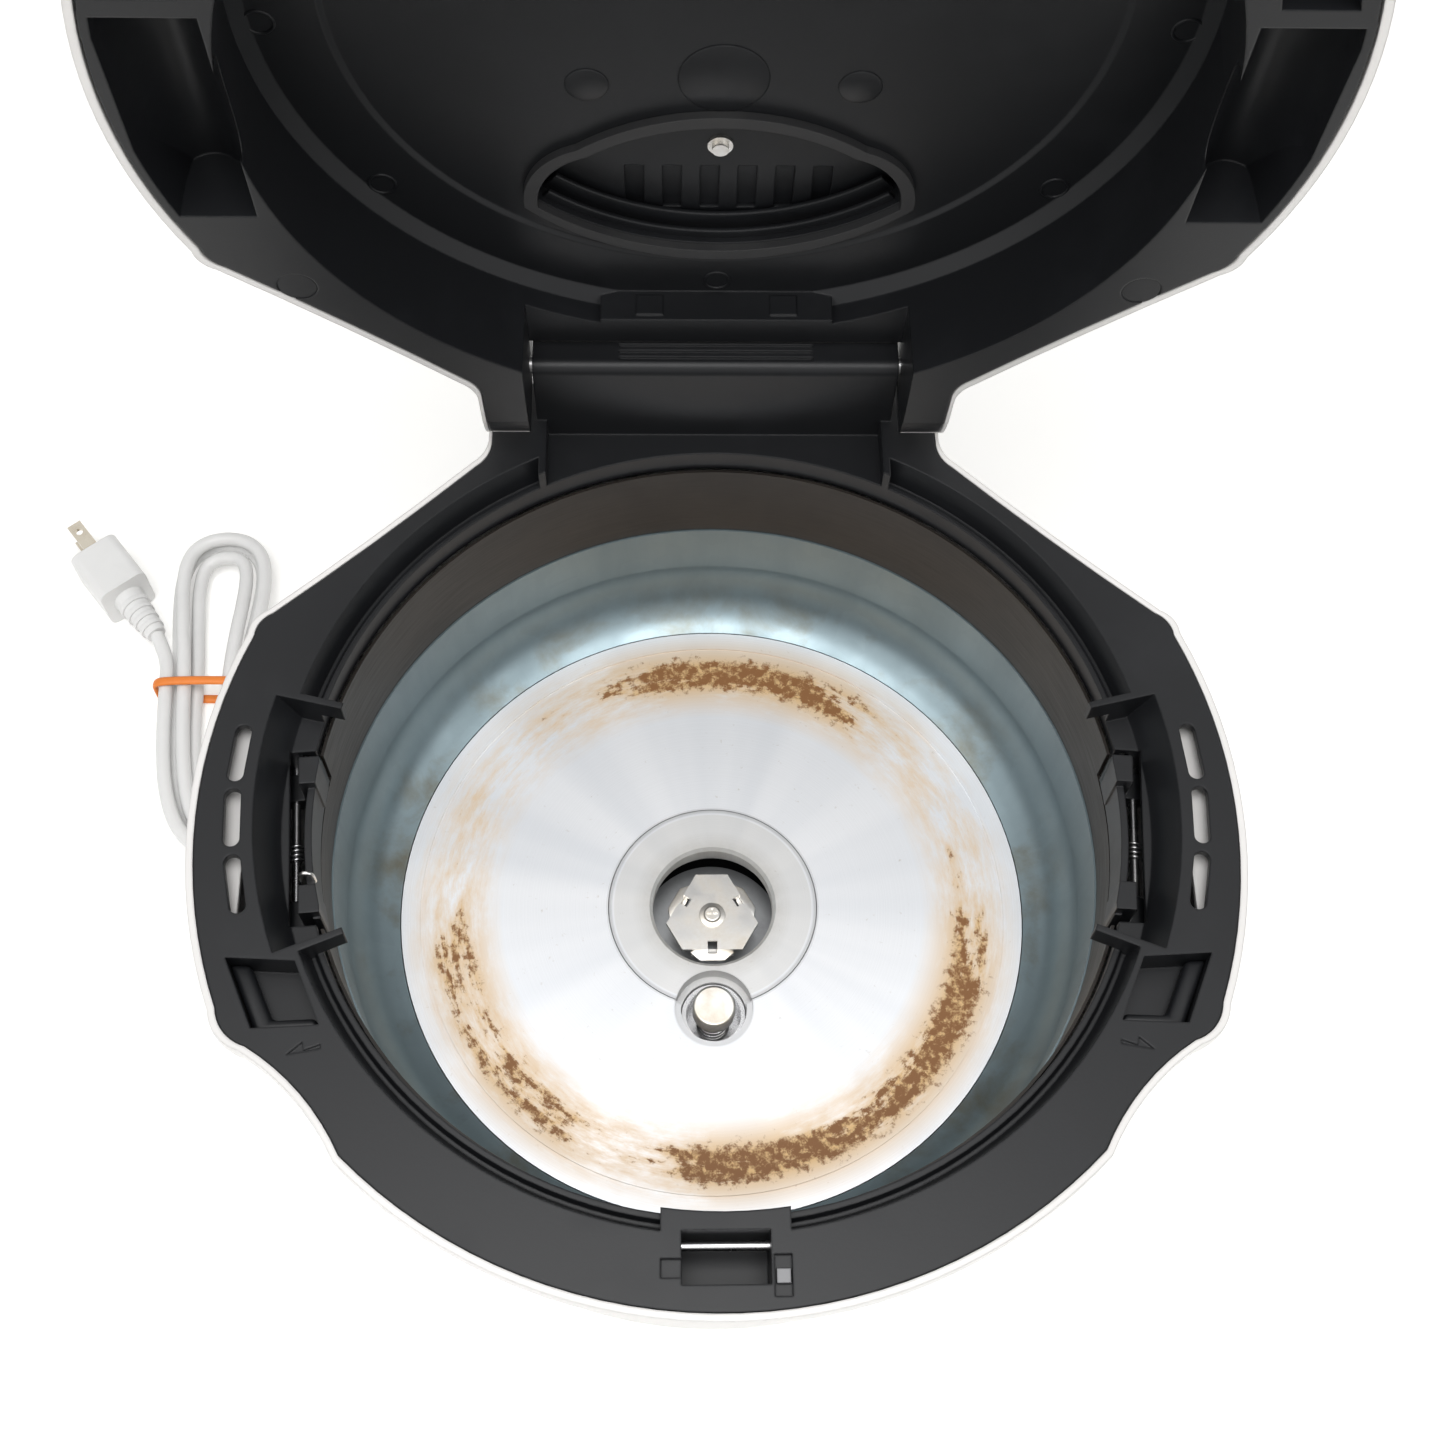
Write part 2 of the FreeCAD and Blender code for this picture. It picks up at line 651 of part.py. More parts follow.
def pot_lever():
    plate = rod(LEVER_R + LEVER_THICK, LEVER_FOOT, LEVER_TOP).cut(rod(LEVER_R, LEVER_FOOT - 1, LEVER_TOP + 1))
    plate = plate.common(box(LEVER_R - 20, LEVER_R + 20, -LEVER_HALF, LEVER_HALF, LEVER_FOOT, LEVER_TOP))
    pieces = [plate]
    holes = []
    for side in (-1, 1):
        y0 = side * LUG_Y - LUG_LENGTH / 2
        root = LEVER_R - 3
        pieces.append(box(root, LEVER_PIN_X, y0, y0 + LUG_LENGTH, LEVER_PIN_Z - LEVER_KNUCKLE_R,
                          LEVER_PIN_Z + LEVER_KNUCKLE_R))
        pieces.append(rod_y(LEVER_KNUCKLE_R, y0, y0 + LUG_LENGTH, LEVER_PIN_X, LEVER_PIN_Z))
        pieces.append(box(root, LUG_R, y0, y0 + LUG_LENGTH, LEVER_PIN_Z, LUG_TOP))
        holes.append(rod_y(LEVER_PIN_R + RUN_FIT, y0 - 1, y0 + LUG_LENGTH + 1, LEVER_PIN_X, LEVER_PIN_Z))
    keep = tube(2 * LEVER_R, LEVER_R - 0.6, LEVER_FOOT - 1, LUG_TOP + 1)
    return lever_side(fuse_all(pieces).common(keep).cut(holes))


def lever_pin():
    reach = NOTCH_HALF + WALL
    return lever_side(rod_y(LEVER_PIN_R, -reach, reach, LEVER_PIN_X, LEVER_PIN_Z))


def lever_spring():
    """Wire spring wound round the lever's pin."""
    def place(turn):
        angle = 2 * math.pi * turn
        y = (turn - LEVER_SPRING_TURNS / 2) * LEVER_SPRING_PITCH
        return V(LEVER_PIN_X + LEVER_SPRING_R * math.cos(angle), y,
                 LEVER_PIN_Z + LEVER_SPRING_R * math.sin(angle))

    path = curve_path(place, 4 * LEVER_SPRING_TURNS, 0.0, float(LEVER_SPRING_TURNS), LEVER_SPRING_WIRE)
    self_gap(path, LEVER_SPRING_WIRE / 2, "lever spring")
    return lever_side(pipe(path, LEVER_SPRING_WIRE / 2))


def hinge_spring():
    """Coil round the hinge pin inside the tower, right half."""
    start = HINGE_SPRING_X - HINGE_SPRING_TURNS * HINGE_SPRING_PITCH / 2

    def place(turn):
        angle = 2 * math.pi * turn
        return V(start + turn * HINGE_SPRING_PITCH, HINGE_Y + HINGE_SPRING_R * math.cos(angle),
                 HINGE_Z + HINGE_SPRING_R * math.sin(angle))

    path = curve_path(place, 4 * HINGE_SPRING_TURNS, 0.0, float(HINGE_SPRING_TURNS))
    self_gap(path, HINGE_SPRING_WIRE / 2, "hinge spring")
    return pipe(path, HINGE_SPRING_WIRE / 2)


def inner_chamber():
    """Sheet cylinder that turns in with a large radius and ends in a lip under the plate."""
    edge = PLATE_R + PLATE_GAP

    def wall(out):
        top = V(CHAMBER_R + out, 0, CHAMBER_TOP)
        bend = V(CHAMBER_R - CHAMBER_TAPER + out, 0, PLATE_TOP + BEND_R)
        middle = V(CHAMBER_R - BEND_SAG_R + out * 0.75, 0, PLATE_TOP + BEND_SAG_Z - out * 0.6)
        foot = V(edge + out, 0, PLATE_TOP - out * 0.6)
        return top, bend, middle, foot

    top, bend, middle, foot = wall(0.0)
    top_out, bend_out, middle_out, foot_out = wall(SHEET)
    low = V(edge, 0, PLATE_FOOT)
    lip = V(edge - LIP_SEAT, 0, PLATE_FOOT)
    lip_low = V(edge - LIP_SEAT, 0, PLATE_FOOT - SHEET)
    low_out = V(edge + SHEET, 0, PLATE_FOOT - SHEET)
    corners = [foot, low, lip, lip_low, low_out, foot_out]
    edges = [Part.makeLine(top, bend), Part.Arc(bend, middle, foot).toShape()]
    edges += [Part.makeLine(p, q) for p, q in zip(corners, corners[1:])]
    edges += [Part.Arc(foot_out, middle_out, bend_out).toShape(), Part.makeLine(bend_out, top_out)]
    edges.append(Part.makeLine(top_out, top))
    return Part.Face(Part.Wire(edges)).revolve(V(0, 0, 0), Z_AXIS, 360)


def chamber_collar():
    top = RIM_Z - LIP_FOOT_DROP
    band = tube(COLLAR_R + SHEET, COLLAR_R, CHAMBER_TOP + FIT, top)
    return band.cut(both_sides(lever_notch()))


def sensor_bore(radius, z0, z1):
    return rod(radius, z0, z1, 0.0, SENSOR_Y)


def heating_plate():
    plate = rod(PLATE_R, PLATE_FOOT, PLATE_TOP)
    groove = tube(GROOVE_R + GROOVE_WIDTH / 2, GROOVE_R - GROOVE_WIDTH / 2, PLATE_TOP - GROOVE_DEPTH, PLATE_TOP + 1)
    seat = rod(HUB_R + FIT, PLATE_TOP - HUB_THICK, PLATE_TOP + 1)
    bore = rod(HUB_HOLE_R + 1.5, PLATE_FOOT - 1, PLATE_TOP)
    recess = sensor_bore(SENSOR_RECESS_R, PLATE_TOP - SENSOR_RECESS_DEPTH, PLATE_TOP + 1)
    hole = sensor_bore(SENSOR_HOLE_R, PLATE_FOOT - 1, PLATE_TOP)
    return plate.cut([groove, seat, bore, recess, hole])


def hub_ring():
    ring = tube(HUB_R, HUB_HOLE_R, PLATE_TOP - HUB_THICK, PLATE_TOP)
    rim = Part.makeCone(HUB_HOLE_R, HUB_HOLE_R + 1.2, 1.2, V(0, 0, PLATE_TOP - 1.2))
    return ring.cut([rim, sensor_bore(SENSOR_RECESS_R, PLATE_TOP - HUB_THICK - 1, PLATE_TOP + 1)])


def heater_element():
    low = PLATE_FOOT - 2 * ELEMENT_HALF
    ring = tube(ELEMENT_R + ELEMENT_HALF, ELEMENT_R - ELEMENT_HALF, low, PLATE_FOOT)
    return ring.cut(box(-8, 8, 0, 2 * ELEMENT_R, low - 1, PLATE_TOP))


def plate_legs():
    legs = []
    for i in range(LEG_COUNT):
        angle = math.radians(45 + 360 * i / LEG_COUNT)
        legs.append(rod(LEG_R, BASE_TOP, PLATE_FOOT - SHEET, LEG_AT_R * math.cos(angle), LEG_AT_R * math.sin(angle)))
    return Part.makeCompound(legs)


def gear_motor():
    body = rod(MOTOR_R, MOTOR_FOOT + 4, MOTOR_TOP)
    flange = box(-MOTOR_R - 10, MOTOR_R + 10, -10, 10, BASE_TOP, MOTOR_FOOT + 6)
    boss = rod(BOSS_R, MOTOR_TOP - 1, BOSS_TOP)
    motor = fuse_all([body, flange, boss])
    return motor.cut([rod(BUSH_R, MOTOR_TOP - 4, BOSS_TOP + 1), rod(SHAFT_R + FIT, SHAFT_FOOT - 1, MOTOR_TOP)])


def motor_screws():
    heads = [rod(SCREW_R, MOTOR_FOOT + 6, MOTOR_FOOT + 6 + SCREW_H, x, 0) for x in (-MOTOR_R - 5, MOTOR_R + 5)]
    return Part.makeCompound(heads)


def bearing_bush():
    return tube(BUSH_R, SHAFT_R + RUN_FIT, MOTOR_TOP - 4, BOSS_TOP)


def drive_shaft():
    return rod(SHAFT_R, SHAFT_FOOT, COUPLING_Z)


def drive_coupling():
    """Stamped driver with three long sides, each carrying a bent-down tab."""
    corners = []
    for i in range(3):
        for offset in (-COUPLING_CORNER_DEG, COUPLING_CORNER_DEG):
            angle = math.radians(90 + 120 * i + offset)
            corners.append((COUPLING_CORNER_R * math.cos(angle), COUPLING_CORNER_R * math.sin(angle)))
    top = prism(corners, COUPLING_Z, COUPLING_Z + COUPLING_THICK)
    flat = COUPLING_CORNER_R * math.cos(math.radians(60 - COUPLING_CORNER_DEG))
    tab = box(-TAB_LENGTH / 2, TAB_LENGTH / 2, -flat, -flat + COUPLING_THICK,
              COUPLING_Z - TAB_DROP, COUPLING_Z + COUPLING_THICK)
    notch = box(-1.8, 1.8, -flat - 1, -flat + 3.5, COUPLING_Z - TAB_DROP / 2, COUPLING_Z + 3)
    pieces = [top]
    notches = []
    for i in range(3):
        for shape, group in ((tab, pieces), (notch, notches)):
            placed = shape.copy()
            placed.rotate(V(0, 0, 0), Z_AXIS, 120 * i)
            group.append(placed)
    return fuse_all(pieces).cut(notches)


def coupling_screw():
    head = rod(SCREW_HEAD_R, COUPLING_Z + COUPLING_THICK, COUPLING_Z + COUPLING_THICK + SCREW_HEAD_H)
    rim = [e for e in head.Edges if abs(e.CenterOfMass.z - head.BoundBox.ZMax) < 0.01]
    head = head.makeFillet(SCREW_HEAD_H / 3, rim)
    low = COUPLING_Z + COUPLING_THICK + SCREW_HEAD_H / 2
    slots = [box(-2, 2, -0.4, 0.4, low, low + 5), box(-0.4, 0.4, -2, 2, low, low + 5)]
    return head.cut(slots)


def sensor_cap():
    top = PLATE_TOP + SENSOR_PROUD
    cap = sensor_bore(SENSOR_CAP_R, top - SENSOR_CAP_H, top)
    rim = [e for e in cap.Edges if abs(e.CenterOfMass.z - top) < 0.01]
    cap = cap.makeFillet(1.0, rim)
    return cap.fuse(sensor_bore(SENSOR_STEM_R, SLEEVE_FOOT - 4, top - SENSOR_CAP_H + 0.5)).removeSplitter()


def sensor_sleeve():
    outer = SENSOR_HOLE_R - FIT
    cup = sensor_bore(outer, SLEEVE_FOOT, SLEEVE_TOP)
    cup = cup.cut(sensor_bore(outer - SLEEVE_WALL, SLEEVE_FOOT + WALL, SLEEVE_TOP + 1))
    return cup.cut(sensor_bore(SENSOR_STEM_R + RUN_FIT, SLEEVE_FOOT - 1, SLEEVE_TOP))


def sensor_spring():
    low = SLEEVE_FOOT + WALL + SENSOR_SPRING_WIRE / 2 + FIT
    high = PLATE_TOP + SENSOR_PROUD - SENSOR_CAP_H - SENSOR_SPRING_WIRE / 2 - FIT

    def place(turn):
        angle = 2 * math.pi * turn
        z = low + (high - low) * turn / SENSOR_SPRING_TURNS
        return V(SENSOR_SPRING_R * math.cos(angle), SENSOR_Y + SENSOR_SPRING_R * math.sin(angle), z)

    path = curve_path(place, 4 * SENSOR_SPRING_TURNS, 0.0, float(SENSOR_SPRING_TURNS))
    self_gap(path, SENSOR_SPRING_WIRE / 2, "sensor spring")
    return pipe(path, SENSOR_SPRING_WIRE / 2)


def latch_strike():
    return rod_x(STRIKE_BAR_R - 0.02, -STRIKE_HALF - WALL + 0.6, STRIKE_HALF + WALL - 0.6,
                 STRIKE_BAR_Y, RIM_Z - STRIKE_BAR_DROP)


def lid_switch_pin():
    half = SWITCH_SIDE / 2
    return box(SWITCH_X - half, SWITCH_X + half, SWITCH_Y - half, SWITCH_Y + half, RIM_Z - SWITCH_LENGTH, RIM_Z - 1)


def hinge_pin():
    return rod_x(HINGE_PIN_R, -ARM_OUTER, ARM_OUTER, HINGE_Y, HINGE_Z)


def base_plate():
    low = HOUSING_FOOT + 0.5
    plate = outline_solid(BASE_SHARE, low, BASE_TOP)
    vents = [box(-30 + 12 * i, -24 + 12 * i, -20, 20, low - 1, BASE_TOP + 1) for i in range(6)]
    for vent in vents:
        vent.translate(V(0, 75, 0))
    return plate.cut(vents)


def rubber_feet():
    feet = []
    for x, y in FOOT_PLACES:
        foot = Part.makeCone(FOOT_R - 1.5, FOOT_R, HOUSING_FOOT + 0.5, V(x, y, 0))
        feet.append(foot)
    feet.append(rod(PAD_R, 0, HOUSING_FOOT + 0.5))
    return Part.makeCompound(feet)


def base_screws():
    low = HOUSING_FOOT + 0.5 - SCREW_H
    return Part.makeCompound([rod(SCREW_R, low, low + SCREW_H, x * 0.6, y * 1.05) for x, y in FOOT_PLACES])


def power_board():
    board = box(-38, 38, -105, -62, BASE_TOP + 6, BASE_TOP + 7.6)
    posts = [rod(3, BASE_TOP, BASE_TOP + 6.5, x, y) for x in (-33, 33) for y in (-100, -67)]
    relay = box(-30, -12, -95, -80, BASE_TOP + 7, BASE_TOP + 22)
    coil = box(6, 28, -98, -78, BASE_TOP + 7, BASE_TOP + 25)
    can = rod(5, BASE_TOP + 7, BASE_TOP + 24, -4, -72)
    return fuse_all([board, relay, coil, can] + posts)


def lid_space(share_in, drop):
    """Solid of the closed lid, with its sides drawn in and its top lowered."""
    sections = [(LID_Z + h * (LID_TOP - drop) / LID_TOP, share - share_in) for h, share in LID_SECTIONS]
    return outline_loft(sections)


def lid_trim():
    """Space that the lid leaves free for the hinge tower and for its own swing."""
    tower = box(-ARM_INNER + 0.1, ARM_INNER - 0.1, LINER_BACK, LINER_BACK + 60, LID_Z - 1, LID_Z + 90)
    behind = box(-200, 200, HINGE_Y, HINGE_Y + 60, LID_Z - 1, LID_Z + 90)
    return [tower, behind.cut(rod_x(ARM_SWEEP_R, -210, 210, HINGE_Y, HINGE_Z))]


def panel_opening(grow, z0, z1):
    return box(-PANEL_HALF - grow, PANEL_HALF + grow, PANEL_FROM - grow, PANEL_TO + grow, z0, z1)


def button_opening(grow, z0, z1):
    return box(-BUTTON_HALF_X - grow, BUTTON_HALF_X + grow, BUTTON_Y - BUTTON_HALF_Y - grow,
               BUTTON_Y + BUTTON_HALF_Y + grow, z0, z1)


LID_TOP_Z = LID_Z + LID_TOP
PANEL_TOP = LID_TOP_Z - 0.4
PANEL_FOOT = PANEL_TOP - PANEL_THICK


def lid_shell():
    shell = lid_space(0.0, 0.0).cut(lid_space(WALL / FRONT_R, WALL))
    shell = shell.cut(lid_trim())
    seat = panel_opening(3.0, PANEL_FOOT - PANEL_SEAT + PANEL_THICK, LID_TOP_Z - 1)
    shell = shell.fuse(seat)
    shell = shell.cut([panel_opening(FIT, PANEL_FOOT, LID_TOP_Z + 1),
                       panel_opening(-3.0, PANEL_FOOT - PANEL_SEAT, LID_TOP_Z),
                       button_opening(FIT, LID_TOP_Z - 20, LID_TOP_Z + 1)])
    for arm in both_sides(rod_x(HINGE_PIN_R + 1, ARM_INNER, ARM_OUTER + FIT, HINGE_Y, HINGE_Z)):
        shell = shell.cut(arm)
    return shell


def vent_plan(grow):
    """Rounded kite of the steam vent as a flat face at the origin's height."""
    half = VENT_HALF + grow
    apex = VENT_APEX - grow
    back = VENT_BACK + grow
    side = VENT_WIDE_Y
    bulge = 0.72
    front_l = V(-half * bulge, apex + (side - apex) * 0.36, 0)
    front_r = V(half * bulge, apex + (side - apex) * 0.36, 0)
    left = V(-half, side, 0)
    right = V(half, side, 0)
    edges = [
        Part.Arc(front_l, V(0, apex, 0), front_r).toShape(),
        Part.Arc(front_r, V(half * 0.95, side - (side - apex) * 0.36, 0), right).toShape(),
        Part.Arc(right, V(0, back, 0), left).toShape(),
        Part.Arc(left, V(-half * 0.95, side - (side - apex) * 0.36, 0), front_l).toShape(),
    ]
    return Part.Face(Part.Wire(edges))


def vent_solid(grow, h0, h1):
    solid = vent_plan(grow).extrude(V(0, 0, h1 - h0))
    solid.translate(V(0, 0, LID_Z + h0))
    return solid


def trough(grow):
    """Hand hollow in the ear of the liner, right side, with an arched ceiling."""
    arch = Part.makeCylinder(TROUGH_HALF_WIDTH + grow, TROUGH_TO - TROUGH_FROM + 2 * grow,
                             V(0, TROUGH_FROM - grow, 0), V(0, 1, 0))
    squash = FreeCAD.Matrix()
    squash.A33 = (TROUGH_HEIGHT + grow) / (TROUGH_HALF_WIDTH + grow)
    arch = arch.transformGeometry(squash)
    arch.translate(V(TROUGH_X, 0, LID_Z))
    return arch


def pot_space(grow):
    """Space under the closed lid over the pot."""
    low = LID_Z - (1 if grow == 0 else 0)
    high = LID_Z + LINER_CEILING + grow
    return turned([
        (0, low),
        (LINER_R + grow, low),
        (LINER_RIDGE_R + grow, high - 4),
        (LINER_RIDGE_R - 4 + grow, high),
        (LINER_DISH_R + grow, high),
        (LINER_DISH_R + grow - 1.5, high + LINER_DISH_STEP),
        (0, high + LINER_DISH_STEP),
    ])


def hook_opening():
    return box(-HOOK_HALF - HOOK_PLAY, HOOK_HALF + HOOK_PLAY, STRIKE_FRONT - 1, STRIKE_BACK - 0.5,
               LID_Z - 1, LID_Z + 30)


def hinge_block():
    """Flat block over the tower with two low pads, joined to the back of the pot space."""
    block = box(-HINGE_BLOCK_HALF, HINGE_BLOCK_HALF, HINGE_BLOCK_FRONT, LINER_BACK,
                LID_Z + REAR_NOTCH_TOP, LID_Z + HINGE_BLOCK_TOP)
    pad = box(BLOCK_PAD_X - BLOCK_PAD_HALF, BLOCK_PAD_X + BLOCK_PAD_HALF, HINGE_BLOCK_FRONT - BLOCK_PAD_PROUD,
              HINGE_BLOCK_FRONT + WALL, LID_Z + BLOCK_PAD_H[0], LID_Z + BLOCK_PAD_H[1])
    roof = box(-ARM_INNER, ARM_INNER, ARM_FRONT, LINER_BACK, LID_Z + REAR_NOTCH_TOP, LID_Z + REAR_NOTCH_TOP + WALL)
    return [block, roof.cut(pot_space(0.0))] + both_sides(pad)


def lid_liner():
    inside = lid_space((WALL + 2 * FIT) / FRONT_R, WALL + FIT)
    hollow = lid_space((2 * WALL + 2 * FIT) / FRONT_R, 2 * WALL + FIT)
    hollow.translate(V(0, 0, -1))
    flange = outline_solid(LINER_SHARE, LID_Z, LID_Z + WALL)
    grown = [pot_space(WALL)] + both_sides(trough(WALL))
    grown += both_sides(prism(grown_plan(BOX_POINTS, WALL), LID_Z, LID_Z + BOX_DEPTH + WALL))
    grown.append(vent_solid(WALL, LINER_CEILING, LINER_CEILING + VENT_DEPTH + WALL))
    arms = both_sides(box(ARM_INNER, ARM_OUTER, ARM_FRONT, HINGE_Y + ARM_REACH, LID_Z, LID_Z + ARM_HEIGHT))
    back = box(-ARM_OUTER, ARM_OUTER, LINER_BACK - WALL, LINER_BACK, LID_Z, LID_Z + LID_TOP)
    cheek_x = HOOK_HALF + HOOK_PLAY
    cheek = box(cheek_x, cheek_x + WALL, HOOK_PIVOT_Y - 5, HOOK_PIVOT_Y + 5, LID_Z, LID_Z + HOOK_PIVOT_H + 5)
    liner = fuse_all([flange] + grown + arms + [back])
    liner = liner.common(inside)
    spaces = [pot_space(0.0)] + both_sides(trough(0.0).common(hollow))
    spaces += both_sides(prism(BOX_POINTS, LID_Z - 1, LID_Z + BOX_DEPTH))
    spaces.append(vent_solid(0.0, LINER_CEILING - 1, LINER_CEILING + VENT_DEPTH))
    spaces += both_sides(rod(PLUG_R + RUN_FIT, LID_Z - 1, LID_Z + PLUG_THICK, PLUG_X, PLUG_Y))
    spaces.append(box(-ARM_INNER, ARM_INNER, REAR_NOTCH_FRONT, LINER_BACK + 1, LID_Z - 1, LID_Z + REAR_NOTCH_TOP))
    liner = liner.cut(spaces + lid_trim() + [hook_opening()])
    liner = fuse_all([liner] + both_sides(cheek) + hinge_block())
    pivot = rod_x(HOOK_PIN_R + PIN_FIT, -30, 30, HOOK_PIVOT_Y, LID_Z + HOOK_PIVOT_H)
    hinge = rod_x(HINGE_PIN_R + RUN_FIT, -ARM_OUTER - 5, ARM_OUTER + 5, HINGE_Y, HINGE_Z)
    return liner.cut([pivot, hinge])


def vent_gasket():
    """Raised rubber lip round the steam vent."""
    top = LINER_CEILING + LINER_DISH_STEP
    return vent_solid(VENT_LIP, top - VENT_LIP_DROP, top).cut(vent_solid(0.2, top - 9, top + 9))


def vent_plate():
    top = LINER_CEILING + VENT_DEPTH
    plate = vent_solid(-3.0, top - VENT_PLATE, top)
    slots = [box(-30 + 12 * i, -24 + 12 * i, 78, 98, LID_Z, LID_TOP_Z) for i in range(6)]
    return plate.cut(slots)


def vent_screw():
    top = LID_Z + LINER_CEILING + VENT_DEPTH - VENT_PLATE
    washer = rod(4.0, top - 0.8, top, 0, 68)
    head = rod(2.6, top - 2.6, top - 0.8, 0, 68)
    return washer.fuse(head).removeSplitter()


def liner_plugs():
    return Part.makeCompound(both_sides(rod(PLUG_R, LID_Z + 0.2, LID_Z + PLUG_THICK, PLUG_X, PLUG_Y)))


def control_panel():
    plate = panel_opening(0.0, PANEL_FOOT, PANEL_TOP)
    corners = [e for e in plate.Edges if abs(e.tangentAt(e.FirstParameter).z) > 0.9]
    plate = plate.makeFillet(4.0, corners)
    holes = [rod(KEY_R + RUN_FIT, PANEL_FOOT - 1, PANEL_TOP + 1, x, KEY_Y) for x in KEY_X]
    window = box(-WINDOW_HALF, WINDOW_HALF, WINDOW_FROM, WINDOW_TO, PANEL_FOOT - 1, PANEL_TOP + 1)
    return plate.cut(holes + [window])


def display_window():
    return box(-WINDOW_HALF + 0.1, WINDOW_HALF - 0.1, WINDOW_FROM + 0.1, WINDOW_TO - 0.1, PANEL_FOOT, PANEL_TOP)


def panel_key(x):
    """Round key with a flange that stays under the panel."""
    cap = rod(KEY_R, PANEL_FOOT - KEY_FLANGE, PANEL_TOP + KEY_PROUD, x, KEY_Y)
    flange = rod(KEY_FLANGE_R, PANEL_FOOT - KEY_FLANGE, PANEL_FOOT, x, KEY_Y)
    return cap.fuse(flange).removeSplitter()


def control_board():
    """Board under the keys, held in the panel's seat."""
    top = PANEL_FOOT - KEY_FLANGE - KEY_TRAVEL - 0.3
    return box(-PANEL_HALF + 3.2, PANEL_HALF - 3.2, PANEL_FROM + 3.2, PANEL_TO - 3.2, top - 1.6, top)


def open_button():
    top = LID_TOP_Z + 0.5
    cap = button_opening(0.0, top - 8, top)
    corners = [e for e in cap.Edges if abs(e.tangentAt(e.FirstParameter).z) > 0.9]
    cap = cap.makeFillet(4.0, corners)
    stem = rod(BUTTON_STEM_R, LID_Z + HOOK_ARM_H + HOOK_ARM_THICK + FIT, top - 7, 0, BUTTON_Y)
    return cap.fuse(stem).removeSplitter()


def lid_hook():
    """Latch hook: knuckle on its pin, leg down to the strike and a nose under the bar."""
    z = LID_Z + HOOK_PIVOT_H
    knuckle = rod_x(HOOK_KNUCKLE_R, -HOOK_HALF, HOOK_HALF, HOOK_PIVOT_Y, z)
    leg_front = STRIKE_BAR_Y - 7.5
    leg_back = STRIKE_BAR_Y - 3.5
    nose_z = RIM_Z - STRIKE_BAR_DROP - STRIKE_BAR_R - 1.0
    arm_z = LID_Z + HOOK_ARM_H
    arm_top = arm_z + HOOK_ARM_THICK
    leg = box(-HOOK_HALF, HOOK_HALF, leg_front, leg_back, nose_z - 3.5, z)
    nose = box(-HOOK_HALF, HOOK_HALF, leg_front, STRIKE_BAR_Y + 0.5, nose_z - 3.5, nose_z)
    upright = box(-HOOK_HALF, HOOK_HALF, HOOK_PIVOT_Y - 0.5, HOOK_PIVOT_Y + 4, z, arm_top)
    arm = box(-HOOK_HALF, HOOK_HALF, HOOK_PIVOT_Y - 0.5, BUTTON_Y + BUTTON_STEM_R, arm_z, arm_top)
    hole = rod_x(HOOK_PIN_R + RUN_FIT, -2 * HOOK_HALF, 2 * HOOK_HALF, HOOK_PIVOT_Y, z)
    return fuse_all([knuckle, leg, nose, upright, arm]).cut(hole)


def hook_pin():
    reach = HOOK_HALF + HOOK_PLAY + WALL
    return rod_x(HOOK_PIN_R, -reach, reach, HOOK_PIVOT_Y, LID_Z + HOOK_PIVOT_H)


def hank_place(turn):
    """Point of the hank's centre line: flat loops that spiral in, climb a layer and spiral out."""
    middle = HANK_TURNS / 2
    spiral = abs(turn - middle)
    angle = 2 * math.pi * turn
    width = HANK_WIDTH + HANK_WIDTH_STEP * spiral
    length = HANK_LENGTH + HANK_LENGTH_STEP * spiral
    across = width * math.cos(angle) * (0.45 + 0.5 * math.sin(angle) ** 2)
    along = -length * math.sin(angle)
    climb = min(1.0, max(0.0, (turn - middle + 0.25) / 0.5))
    rise = HANK_LAYER * (3 * climb ** 2 - 2 * climb ** 3)
    bend = HANK_BEND * (math.sqrt(along ** 2 + 225) - 15) if along < 0 else 0.0
    return V(HANK_X + across + bend, HANK_Y + along, HANK_LOW_Z + rise)


def hank_heading(turn):
    tiny = 1e-4
    return (hank_place(turn + tiny) - hank_place(turn - tiny)).normalize()


def cord_hank():
    count = int((HANK_TURNS - HANK_START_TURN) * HANK_STEPS)
    path = curve_path(hank_place, count, HANK_START_TURN, HANK_TURNS, 2 * CORD_R)
    self_gap(path, CORD_R, "hank")
    solid = pipe(path, CORD_R)
    print("hank volume %.0f by section %.0f" % (solid.Volume, math.pi * CORD_R ** 2 * path.Length))
    return solid


def cord_tie():
    """Band round the waist of the hank."""
    half = 0.45 * (HANK_WIDTH + HANK_WIDTH_STEP * HANK_TURNS / 2) + CORD_R + 1.0
    high = HANK_LOW_Z + HANK_LAYER + CORD_R + 1.0
    low = TIE_THICK
    y0 = HANK_Y - TIE_WIDTH / 2
    outer = box(HANK_X - half - TIE_THICK, HANK_X + half + TIE_THICK, y0, y0 + TIE_WIDTH, 0.0, high + TIE_THICK)
    long_edges = [e for e in outer.Edges if abs(e.tangentAt(e.FirstParameter).y) > 0.9]
    outer = outer.makeFillet(4.0, long_edges)
    inner = box(HANK_X - half, HANK_X + half, y0 - 1, y0 + TIE_WIDTH + 1, low, high)
    return outer.cut(inner)


def cord_gland():
    spot = V(*GLAND_SPOT)
    aim = V(*GLAND_AIM).normalize()
    body = Part.makeCylinder(GLAND_R, 2 * GLAND_ROOT, spot - aim * GLAND_ROOT, aim)
    taper = Part.makeCone(GLAND_R, CORD_R + 1, GLAND_LENGTH - GLAND_ROOT, spot + aim * GLAND_ROOT, aim)
    return body.fuse(taper).removeSplitter()


